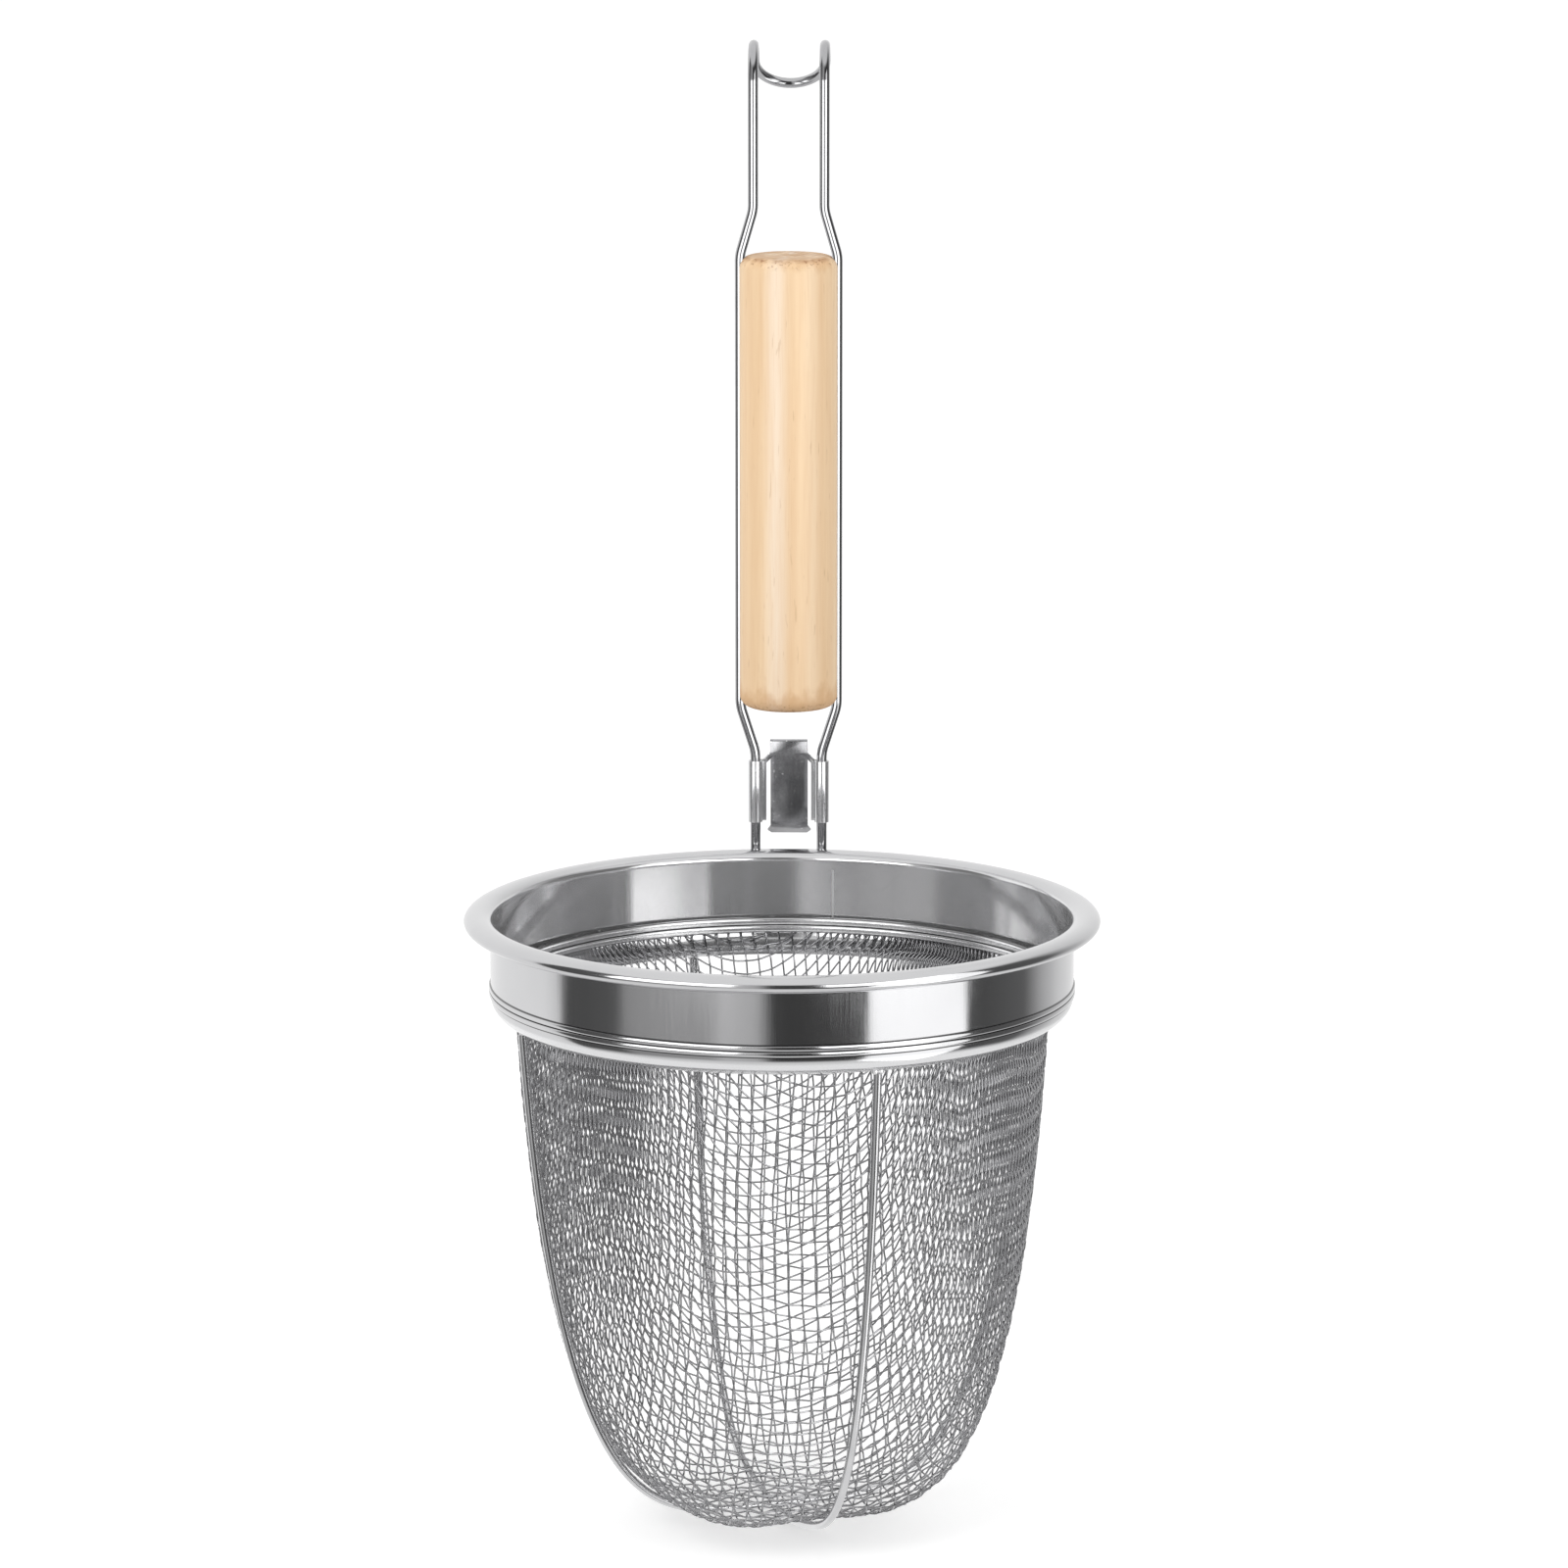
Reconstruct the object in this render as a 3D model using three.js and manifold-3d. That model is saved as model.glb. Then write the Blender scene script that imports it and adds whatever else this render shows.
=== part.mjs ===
// Noodle strainer: a deep woven-wire cup in a rolled steel rim, carried by an upright wire handle
// Millimetres, +Z up. The handle stands at the back, +Y, and the cup opens upwards in front of it
import * as THREE from 'three';
import { mergeVertices } from 'three/addons/utils/BufferGeometryUtils.js';
import Module from 'manifold-3d';

const wasm = await Module();
wasm.setup();

// Clearance between pieces that touch on the real strainer
const FIT_GAP = 0.3;

// Rim band: a steel strip with its top edge rolled outwards and its lower edge turned in
const RIM_OUTER_RADIUS = 75;
const BAND_SHEET = 0.6;
const BEAD_WIDTH = 6.8;
const BEAD_HEIGHT = 4;
const BEAD_CURL_DEGREES = 310;
const BAND_FACE_DEPTH = 16.8;
const RIDGE_COUNT = 2;
const RIDGE_PITCH = 1.4;
const RIDGE_HEIGHT = 0.4;
const SHOULDER_RUN = 5.4;
const SHOULDER_DROP = 5;

// Clamp hoop: the ribbed ring inside the band that traps the edge of the cloth
const HOOP_SHEET = 0.8;
const HOOP_HEIGHT = 3.6;
const HOOP_RIB_HEIGHT = 0.45;

// Wire cloth of the cup, drawn as a net of fewer and stouter wires than the real weave
const CUP_DEPTH = 119;
const CUP_TAPER = 9.6;
const CUP_BELLY_POWER = 2.6;
const CUP_CORNER_POWER = 4.3;
const CLOTH_THICKNESS = 0.9;
const CLOTH_BAR_WIDTH = 1.3;
const CLOTH_PITCH = 16;
const CLOTH_TURN_DEGREES = 8;
const SELVEDGE_DROP = 2.2;
const SELVEDGE_LAP = 1.2;

// Cradle: two wires bent to the cup that cross under its bottom
const CRADLE_WIRE_DIAMETER = 2;
const CRADLE_TURN_DEGREES = 21;
const CRADLE_CROSSING_SPAN = 26;

// Handle wire: one hairpin with its hook at the top and its two feet welded to the band
const HANDLE_WIRE_DIAMETER = 2.5;
const LOWER_NECK_SPREAD = 16.3;
const UPPER_NECK_SPREAD = 17.3;
const LOWER_NECK_LENGTH = 11.5;
const UPPER_NECK_LENGTH = 11;
const NECK_BEND_RADIUS = 10;
const FOOT_LENGTH = 6.5;
const FOOT_CLEARANCE = 0.8;
const JOG_BEND_RADIUS = 3;
const JOG_TOP_DEPTH = 3.5;
const HOOK_CROWN_HEIGHT = 197.5;
const HOOK_BEND_RADIUS = 8;
const HOOK_BEND_DEGREES = 134;
const HOOK_STRAIGHT = 3.2;

// Grip: a turned wooden cylinder with a groove down each side for the handle wire
const GRIP_DIAMETER = 24;
const GRIP_LENGTH = 111;
const GRIP_BOTTOM_HEIGHT = 35;
const GRIP_END_ROUNDING = 3;

// Pot clip: sheet rolled round both wires, with a tongue cut free between them and folded back
const CLIP_SHEET = 0.45;
const CLIP_BOTTOM_HEIGHT = 6;
const SLEEVE_LENGTH = 15.3;
const SLEEVE_WRAP_DEGREES = 280;
const CUT_WIDTH = 11;
const STRAP_HEIGHT = 0.9;
const STRAP_SLOPE = 1.8;
const TAB_RISE = 4.9;
const SLOT_GAP = 4.6;
const TONGUE_WIDTH = 9.2;
const TONGUE_LENGTH = 22.1;
const LIP_WIDTH = 10.8;
const LIP_LENGTH = 3;
const LIP_CHAMFER = 1;
const LIP_FLARE_DEGREES = 35;

// Fineness of the facets
const RING_SEGMENTS = 48;
const GRIP_SEGMENTS = 32;
const WIRE_SIDES = 10;
const CRADLE_SIDES = 8;
const CRADLE_STEP = 8;
const SHOULDER_FACETS = 3;
const RIDGE_FACETS = 3;
const BEAD_FACETS = 10;
const CURL_FACETS = 8;
const GRIP_EDGE_FACETS = 4;
const FOLD_FACETS = 5;
const SLEEVE_FACETS = 6;
const BEND_STEP = Math.PI / 9;
const WELD_TOLERANCE = 1e-4;

// Heights measured from the rim's top, and radii from the cup's axis
const BAND_INNER_RADIUS = RIM_OUTER_RADIUS - BEAD_WIDTH;
const BAND_OUTER_RADIUS = BAND_INNER_RADIUS + BAND_SHEET;
const SHOULDER_TOP = -BAND_FACE_DEPTH - RIDGE_COUNT * RIDGE_PITCH;
const SHOULDER_BOTTOM = SHOULDER_TOP - SHOULDER_DROP;
const LIP_RADIUS = BAND_OUTER_RADIUS - SHOULDER_RUN;
const CUP_TOP_RADIUS = LIP_RADIUS - FIT_GAP - CLOTH_THICKNESS / 2;
const HANDLE_WIRE_RADIUS = HANDLE_WIRE_DIAMETER / 2;
const CRADLE_WIRE_RADIUS = CRADLE_WIRE_DIAMETER / 2;
const LOWER_NECK_X = LOWER_NECK_SPREAD / 2;
const HANDLE_Y = Math.sqrt((RIM_OUTER_RADIUS + FIT_GAP + HANDLE_WIRE_RADIUS) ** 2 - LOWER_NECK_X ** 2);
const FOOT_Y = Math.sqrt((BAND_OUTER_RADIUS + FIT_GAP + HANDLE_WIRE_RADIUS) ** 2 - LOWER_NECK_X ** 2);

// A geometry with shared vertices, positions alone and no collapsed triangles
function weld(geometry) {
  geometry.deleteAttribute('normal');
  geometry.deleteAttribute('uv');
  const welded = mergeVertices(geometry, WELD_TOLERANCE);
  const corners = welded.index.array;
  const kept = [];
  for (let k = 0; k < corners.length; k += 3) {
    const [a, b, c] = [corners[k], corners[k + 1], corners[k + 2]];
    if (a !== b && b !== c && c !== a) kept.push(a, b, c);
  }
  welded.setIndex(kept);
  return welded;
}

// A closed geometry as a solid that can be joined and cut
function toSolid(geometry) {
  const welded = weld(geometry);
  const vertProperties = new Float32Array(welded.attributes.position.array);
  const triVerts = new Uint32Array(welded.index.array);
  return new wasm.Manifold(new wasm.Mesh({ numProp: 3, vertProperties, triVerts }));
}

// A solid's triangles as a geometry
function toGeometry(solid) {
  const { vertProperties, triVerts } = solid.getMesh();
  const geometry = new THREE.BufferGeometry();
  geometry.setAttribute('position', new THREE.BufferAttribute(vertProperties, 3));
  geometry.setIndex(new THREE.BufferAttribute(triVerts, 1));
  geometry.computeVertexNormals();
  return geometry;
}

// Points of an oval arc in the radius and height plane, with its angles in degrees
function ovalArc(centre, radii, from, to, steps) {
  const points = [];
  for (let k = 0; k <= steps; k += 1) {
    const angle = THREE.MathUtils.degToRad(from + (to - from) * k / steps);
    const radius = centre.x + radii.x * Math.cos(angle);
    points.push(new THREE.Vector2(radius, centre.y + radii.y * Math.sin(angle)));
  }
  return points;
}

// A profile turned about the upright axis, running up its outer side and down its inner side
function revolve(profile, segments) {
  return new THREE.LatheGeometry(profile, segments).rotateX(Math.PI / 2);
}

// A ring whose profile closes on itself
function revolveRing(profile) {
  return revolve([...profile, profile[0].clone()], RING_SEGMENTS);
}

// An outline of x and z pushed through a thickness in y, from its front face to its back
function plate(outline, front, back) {
  const geometry = new THREE.ExtrudeGeometry(outline, { depth: back - front, bevelEnabled: false });
  return geometry.rotateX(Math.PI / 2).translate(0, back, 0);
}

// The centre line of a wire through chosen points, with one ring of its sweep at each point
class WireLine extends THREE.Curve {
  constructor(points) {
    super();
    this.points = points;
  }

  getPoint(t, target = new THREE.Vector3()) {
    const place = t * (this.points.length - 1);
    const k = Math.min(Math.floor(place), this.points.length - 2);
    return target.lerpVectors(this.points[k], this.points[k + 1], place - k);
  }

  getPointAt(u, target) {
    return this.getPoint(u, target);
  }

  getTangentAt(u, target) {
    return this.getTangent(u, target);
  }
}

// A round wire swept along a line of points
function sweepWire(points, radius, sides) {
  const section = new THREE.Shape();
  for (let k = 0; k < sides; k += 1) {
    const angle = 2 * Math.PI * k / sides;
    const corner = [radius * Math.cos(angle), radius * Math.sin(angle)];
    if (k === 0) section.moveTo(...corner);
    else section.lineTo(...corner);
  }
  const extrudePath = new WireLine(points);
  return new THREE.ExtrudeGeometry(section, { steps: points.length - 1, extrudePath });
}

// Rim band: up the shoulder and the ridges, round the rolled bead and down the inner face
function makeRimBand() {
  const shoulderCentre = new THREE.Vector2(LIP_RADIUS, SHOULDER_TOP);
  const shoulderOuter = new THREE.Vector2(SHOULDER_RUN, SHOULDER_DROP);
  const shoulderInner = shoulderOuter.clone().subScalar(BAND_SHEET);
  const beadCentre = new THREE.Vector2(RIM_OUTER_RADIUS - BEAD_WIDTH / 2, -BEAD_HEIGHT / 2);
  const beadOuter = new THREE.Vector2(BEAD_WIDTH / 2, BEAD_HEIGHT / 2);
  const beadInner = beadOuter.clone().subScalar(BAND_SHEET);
  const curlEnd = 180 - BEAD_CURL_DEGREES;
  const ridge = new THREE.Vector2(RIDGE_HEIGHT, RIDGE_PITCH / 2);
  const profile = ovalArc(shoulderCentre, shoulderOuter, -90, 0, SHOULDER_FACETS);
  for (let k = 0; k < RIDGE_COUNT; k += 1) {
    const middle = new THREE.Vector2(BAND_OUTER_RADIUS, SHOULDER_TOP + RIDGE_PITCH * (k + 0.5));
    profile.push(...ovalArc(middle, ridge, -90, 90, RIDGE_FACETS).slice(1));
  }
  profile.push(...ovalArc(beadCentre, beadInner, 180, curlEnd, CURL_FACETS));
  profile.push(...ovalArc(beadCentre, beadOuter, curlEnd, 180, BEAD_FACETS));
  profile.push(...ovalArc(shoulderCentre, shoulderInner, 0, -90, SHOULDER_FACETS));
  return revolveRing(profile);
}

// Clamp hoop: flat against the cloth, with ribs on its inner face that match the band's ridges
function makeClampHoop() {
  const outer = BAND_INNER_RADIUS - 2 * FIT_GAP - CLOTH_THICKNESS;
  const inner = outer - HOOP_SHEET;
  const ribPitch = HOOP_HEIGHT / RIDGE_COUNT;
  const rib = new THREE.Vector2(HOOP_RIB_HEIGHT, ribPitch / 2);
  const profile = [
    new THREE.Vector2(outer, SHOULDER_TOP),
    new THREE.Vector2(outer, SHOULDER_TOP + HOOP_HEIGHT),
    new THREE.Vector2(inner, SHOULDER_TOP + HOOP_HEIGHT),
  ];
  for (let k = RIDGE_COUNT - 1; k >= 0; k -= 1) {
    const middle = new THREE.Vector2(inner, SHOULDER_TOP + ribPitch * (k + 0.5));
    profile.push(...ovalArc(middle, rib, 90, 270, RIDGE_FACETS).slice(1));
  }
  return revolveRing(profile);
}

// Bell profile of the cup, from its top at share 0 to the middle of its bottom at share 1
function cupProfile(share) {
  const side = CUP_TOP_RADIUS - CUP_TAPER * share;
  const radius = side * (1 - share ** CUP_BELLY_POWER) ** (1 / CUP_CORNER_POWER);
  return new THREE.Vector2(radius, SHOULDER_BOTTOM - CUP_DEPTH * share);
}

// The profile measured along the cloth from the bottom's middle, and straight up past the top
const PROFILE_STEPS = 3000;
const PROFILE_CROWDING = 4;
const cupLine = [{ run: 0, at: cupProfile(1) }];
for (let k = 1; k <= PROFILE_STEPS; k += 1) {
  const at = cupProfile(1 - (k / PROFILE_STEPS) ** PROFILE_CROWDING);
  const last = cupLine[k - 1];
  cupLine.push({ run: last.run + at.distanceTo(last.at), at });
}
const CUP_RUN = cupLine[PROFILE_STEPS].run;

// Radius and height at a run along the cloth
function cupAt(run) {
  if (run >= CUP_RUN) return new THREE.Vector2(CUP_TOP_RADIUS, SHOULDER_BOTTOM + run - CUP_RUN);
  let low = 0;
  let high = PROFILE_STEPS;
  while (high - low > 1) {
    const middle = Math.floor((low + high) / 2);
    if (cupLine[middle].run > run) high = middle;
    else low = middle;
  }
  const share = (run - cupLine[low].run) / (cupLine[high].run - cupLine[low].run);
  return cupLine[low].at.clone().lerp(cupLine[high].at, share);
}

// Direction that leaves the cup squarely at a run along the cloth, in radius and height
const SLOPE_SPAN = 0.5;
function cupOutward(run) {
  const below = cupAt(Math.max(run - SLOPE_SPAN, 0));
  const along = cupAt(run + SLOPE_SPAN).sub(below);
  return new THREE.Vector2(along.y, -along.x).normalize();
}

// A knot of the cloth in space, from its run along the cloth and its turn about the axis
function knotPoint(knot) {
  const { x: radius, y: height } = cupAt(Math.max(knot.run, 0));
  return new THREE.Vector3(radius * Math.cos(knot.turn), radius * Math.sin(knot.turn), height);
}

// The knot one pitch from each of two neighbours, found by Newton steps from a first guess
const NEWTON_STEPS = 60;
const NEWTON_PROBE = 1e-4;
const NEWTON_REACH = 3;
const NEWTON_DONE = 1e-8;
function nextKnot(left, right, guess) {
  const knot = { ...guess };
  const miss = (trial) => {
    const point = knotPoint(trial);
    return [point.distanceTo(left) - CLOTH_PITCH, point.distanceTo(right) - CLOTH_PITCH];
  };
  for (let k = 0; k < NEWTON_STEPS; k += 1) {
    const [a, b] = miss(knot);
    if (Math.abs(a) + Math.abs(b) < NEWTON_DONE) break;
    const turnProbe = NEWTON_PROBE / CUP_TOP_RADIUS;
    const byRun = miss({ run: knot.run + NEWTON_PROBE, turn: knot.turn });
    const byTurn = miss({ run: knot.run, turn: knot.turn + turnProbe });
    const [aRun, bRun] = byRun.map((value, n) => (value - [a, b][n]) / NEWTON_PROBE);
    const [aTurn, bTurn] = byTurn.map((value, n) => (value - [a, b][n]) / turnProbe);
    const scale = aRun * bTurn - aTurn * bRun;
    const runStep = (aTurn * b - a * bTurn) / scale;
    const turnStep = (a * bRun - aRun * b) / scale;
    const turnReach = NEWTON_REACH / CUP_TOP_RADIUS;
    knot.run += THREE.MathUtils.clamp(runStep, -NEWTON_REACH, NEWTON_REACH);
    knot.turn += THREE.MathUtils.clamp(turnStep, -turnReach, turnReach);
  }
  return knot;
}

// One quarter of the draped cloth: two straight wires from the bottom, and all knots between them
function drapeQuarter() {
  const last = Math.ceil(CUP_RUN / CLOTH_PITCH) + 1;
  const quarter = [[{ run: 0, turn: 0 }]];
  for (let i = 1; i <= last; i += 1) {
    const before = quarter[i - 1][0];
    const reach = (share) => ({ run: before.run + CLOTH_PITCH * (1 + share), turn: 0 });
    let share = 0;
    for (let k = 0; k < NEWTON_STEPS; k += 1) {
      share += 1 - knotPoint(reach(share)).distanceTo(knotPoint(before)) / CLOTH_PITCH;
    }
    quarter[i] = [reach(share)];
    quarter[0][i] = { run: quarter[i][0].run, turn: Math.PI / 2 };
  }
  const highest = CUP_RUN + 2 * CLOTH_PITCH;
  for (let i = 1; i <= last; i += 1) {
    for (let j = 1; j <= last; j += 1) {
      const [left, right, behind] = [quarter[i - 1][j], quarter[i][j - 1], quarter[i - 1][j - 1]];
      if (!left || !right) continue;
      const [a, b] = [knotPoint(left), knotPoint(right)];
      const aim = a.clone().add(b).sub(knotPoint(behind));
      const run = behind.run > 0 ? left.run + right.run - behind.run : CLOTH_PITCH * Math.SQRT2;
      const knot = nextKnot(a, b, { run, turn: Math.atan2(aim.y, aim.x) });
      if (knot.run < highest) quarter[i][j] = knot;
    }
  }
  return quarter;
}

// The whole net: each gap has a bevelled frame, and neighbours share the ridges of their wires
function makeNet() {
  const quarter = drapeQuarter();
  const positions = [];
  const triangles = [];
  const knots = new Map();
  const addPoint = (point) => positions.push(...point.toArray()) / 3 - 1;
  const knotAt = (i, j) => {
    const key = `${i},${j}`;
    const drawn = quarter[Math.abs(i)]?.[Math.abs(j)];
    if (!drawn || knots.has(key)) return knots.get(key);
    const sides = new THREE.Vector3(i < 0 ? -1 : 1, j < 0 ? -1 : 1, 1);
    const point = knotPoint(drawn).multiply(sides);
    const { x: spread, y: lift } = cupOutward(drawn.run);
    const { cos, sin } = Math;
    const outward = new THREE.Vector3(cos(drawn.turn) * spread, sin(drawn.turn) * spread, lift);
    const rise = outward.multiply(sides).multiplyScalar(CLOTH_THICKNESS / 2);
    const outer = addPoint(point.clone().add(rise));
    const inner = addPoint(point.clone().sub(rise));
    knots.set(key, { point, outer, inner, low: drawn.run < CUP_RUN });
    return knots.get(key);
  };
  const size = quarter.length - 1;
  const gapAt = (i, j) => {
    const corners = [knotAt(i, j), knotAt(i + 1, j), knotAt(i + 1, j + 1), knotAt(i, j + 1)];
    return corners.every(Boolean) && corners.some((corner) => corner.low) ? corners : null;
  };
  const besides = [[0, -1], [1, 0], [0, 1], [-1, 0]];
  for (let i = -size; i < size; i += 1) {
    for (let j = -size; j < size; j += 1) {
      const corners = gapAt(i, j);
      if (!corners) continue;
      const frame = corners.map(({ point }, k) => {
        const ahead = corners[(k + 1) % 4].point.clone().sub(point).normalize();
        const back = corners[(k + 3) % 4].point.clone().sub(point).normalize();
        const inset = CLOTH_BAR_WIDTH / 2 / Math.sin(ahead.angleTo(back));
        return addPoint(point.clone().addScaledVector(ahead.add(back), inset));
      });
      corners.forEach((from, k) => {
        const to = corners[(k + 1) % 4];
        const [near, far] = [frame[k], frame[(k + 1) % 4]];
        triangles.push(to.outer, from.outer, near, to.outer, near, far);
        triangles.push(from.inner, to.inner, far, from.inner, far, near);
        if (gapAt(i + besides[k][0], j + besides[k][1])) return;
        triangles.push(from.outer, to.outer, to.inner, from.outer, to.inner, from.inner);
      });
    }
  }
  const geometry = new THREE.BufferGeometry();
  geometry.setAttribute('position', new THREE.Float32BufferAttribute(positions, 3));
  geometry.setIndex(triangles);
  return geometry;
}

// Bound edge of the cloth: up through the lip, out along the shoulder and up behind the hoop
function makeSelvedge() {
  const centre = new THREE.Vector2(LIP_RADIUS, SHOULDER_TOP);
  const outer = new THREE.Vector2(SHOULDER_RUN, SHOULDER_DROP).subScalar(BAND_SHEET + FIT_GAP);
  const inner = outer.clone().subScalar(CLOTH_THICKNESS);
  const top = SHOULDER_TOP + HOOP_HEIGHT;
  const bottom = SHOULDER_BOTTOM - SELVEDGE_DROP;
  const cupOuter = CUP_TOP_RADIUS + CLOTH_THICKNESS / 2;
  const cupInner = CUP_TOP_RADIUS - CLOTH_THICKNESS / 2;
  return revolveRing([
    new THREE.Vector2(cupOuter, bottom),
    new THREE.Vector2(cupOuter, SHOULDER_TOP - outer.y),
    ...ovalArc(centre, outer, -90, 0, SHOULDER_FACETS),
    new THREE.Vector2(centre.x + outer.x, top),
    new THREE.Vector2(centre.x + inner.x, top),
    ...ovalArc(centre, inner, 0, -90, SHOULDER_FACETS),
    new THREE.Vector2(cupInner, SHOULDER_TOP - inner.y),
    new THREE.Vector2(cupInner, bottom),
  ]);
}

// Mesh cup: the net trimmed below the shoulder and joined to its bound edge
function makeMeshCup() {
  const trimHeight = SHOULDER_BOTTOM - SELVEDGE_DROP + SELVEDGE_LAP;
  const reach = 2 * (CUP_RUN + CLOTH_PITCH);
  const above = new THREE.BoxGeometry(reach, reach, reach).translate(0, 0, trimHeight + reach / 2);
  const net = toSolid(makeNet()).subtract(toSolid(above));
  return toGeometry(net.add(toSolid(makeSelvedge())));
}

// Cradle wire: follows the cup from lip to lip, and the lower one dips under the other
function makeCradleWire(dip) {
  const offset = CLOTH_THICKNESS / 2 + FIT_GAP + CRADLE_WIRE_RADIUS;
  const steps = Math.round(CUP_RUN / CRADLE_STEP);
  const side = [];
  for (let k = 1; k <= steps; k += 1) {
    const run = CUP_RUN * k / steps;
    const at = cupAt(run).addScaledVector(cupOutward(run), offset);
    const drop = dip * (1 - THREE.MathUtils.smoothstep(run, 0, CRADLE_CROSSING_SPAN));
    side.push(new THREE.Vector3(at.x, 0, at.y - drop));
  }
  side[steps - 1].z = SHOULDER_BOTTOM - FIT_GAP;
  const bottom = new THREE.Vector3(0, 0, SHOULDER_BOTTOM - CUP_DEPTH - offset - dip);
  const mirror = new THREE.Vector3(-1, 1, 1);
  const other = side.map((point) => point.clone().multiply(mirror)).reverse();
  return sweepWire([...other, bottom, ...side], CRADLE_WIRE_RADIUS, CRADLE_SIDES);
}

// Round each corner of a bend plan with its bend radius, as a wire former does
function bendWire(plan) {
  const points = [plan[0].at];
  const addPoint = (point) => {
    if (point.distanceTo(points[points.length - 1]) > WELD_TOLERANCE) points.push(point);
  };
  for (let k = 1; k < plan.length - 1; k += 1) {
    const { at, bend } = plan[k];
    const into = at.clone().sub(plan[k - 1].at).normalize();
    const onward = plan[k + 1].at.clone().sub(at).normalize();
    const turn = into.angleTo(onward);
    const axis = into.clone().cross(onward).normalize();
    const inward = axis.clone().cross(into);
    const start = at.clone().addScaledVector(into, -bend * Math.tan(turn / 2));
    const centre = start.addScaledVector(inward, bend);
    const steps = Math.max(2, Math.ceil(turn / BEND_STEP));
    for (let n = 0; n <= steps; n += 1) {
      const arm = inward.clone().multiplyScalar(-bend).applyAxisAngle(axis, turn * n / steps);
      addPoint(centre.clone().add(arm));
    }
  }
  addPoint(plan[plan.length - 1].at);
  return points;
}

// Handle wire's bend plan: weld foot, jog out past the bead, lower neck, grip, upper neck and hook
function planHandle() {
  const gripX = GRIP_DIAMETER / 2;
  const hookX = UPPER_NECK_SPREAD / 2;
  const gripTop = GRIP_BOTTOM_HEIGHT + GRIP_LENGTH;
  const footBottom = FOOT_CLEARANCE - BAND_FACE_DEPTH;
  const hookTurn = THREE.MathUtils.degToRad(HOOK_BEND_DEGREES);
  const setback = HOOK_BEND_RADIUS * Math.tan(hookTurn / 2);
  const bendStart = HOOK_CROWN_HEIGHT - HANDLE_WIRE_RADIUS - HOOK_BEND_RADIUS;
  const hookRun = setback + HOOK_STRAIGHT + hookX;
  const tipY = HANDLE_Y + hookRun * Math.sin(hookTurn);
  const tipZ = bendStart + setback + hookRun * Math.cos(hookTurn);
  const corner = (x, y, z, bend) => ({ at: new THREE.Vector3(x, y, z), bend });
  const rightSide = [
    corner(LOWER_NECK_X, FOOT_Y, footBottom, 0),
    corner(LOWER_NECK_X, FOOT_Y, footBottom + FOOT_LENGTH, JOG_BEND_RADIUS),
    corner(LOWER_NECK_X, HANDLE_Y, -JOG_TOP_DEPTH, JOG_BEND_RADIUS),
    corner(LOWER_NECK_X, HANDLE_Y, GRIP_BOTTOM_HEIGHT - LOWER_NECK_LENGTH, NECK_BEND_RADIUS),
    corner(gripX, HANDLE_Y, GRIP_BOTTOM_HEIGHT, NECK_BEND_RADIUS),
    corner(gripX, HANDLE_Y, gripTop, NECK_BEND_RADIUS),
    corner(hookX, HANDLE_Y, gripTop + UPPER_NECK_LENGTH, NECK_BEND_RADIUS),
    corner(hookX, HANDLE_Y, bendStart + setback, HOOK_BEND_RADIUS),
    corner(hookX, tipY, tipZ, hookX),
  ];
  const leftSide = rightSide.map(({ at, bend }) => corner(-at.x, at.y, at.z, bend)).reverse();
  return [...rightSide, ...leftSide];
}
const handlePoints = bendWire(planHandle());

// Grip: turned on its axis, then grooved by a fatter sweep of the handle wire
function makeGrip() {
  const radius = GRIP_DIAMETER / 2;
  const [bottom, top] = [GRIP_BOTTOM_HEIGHT, GRIP_BOTTOM_HEIGHT + GRIP_LENGTH];
  const rounding = new THREE.Vector2(GRIP_END_ROUNDING, GRIP_END_ROUNDING);
  const lowerEdge = new THREE.Vector2(radius - GRIP_END_ROUNDING, bottom + GRIP_END_ROUNDING);
  const upperEdge = new THREE.Vector2(radius - GRIP_END_ROUNDING, top - GRIP_END_ROUNDING);
  const profile = [
    new THREE.Vector2(0, bottom),
    ...ovalArc(lowerEdge, rounding, -90, 0, GRIP_EDGE_FACETS),
    ...ovalArc(upperEdge, rounding, 0, 90, GRIP_EDGE_FACETS),
    new THREE.Vector2(0, top),
  ];
  const blank = revolve(profile, GRIP_SEGMENTS).translate(0, HANDLE_Y, 0);
  const groove = sweepWire(handlePoints, HANDLE_WIRE_RADIUS + FIT_GAP, WIRE_SIDES);
  return toGeometry(toSolid(blank).subtract(toSolid(groove)));
}

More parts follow.
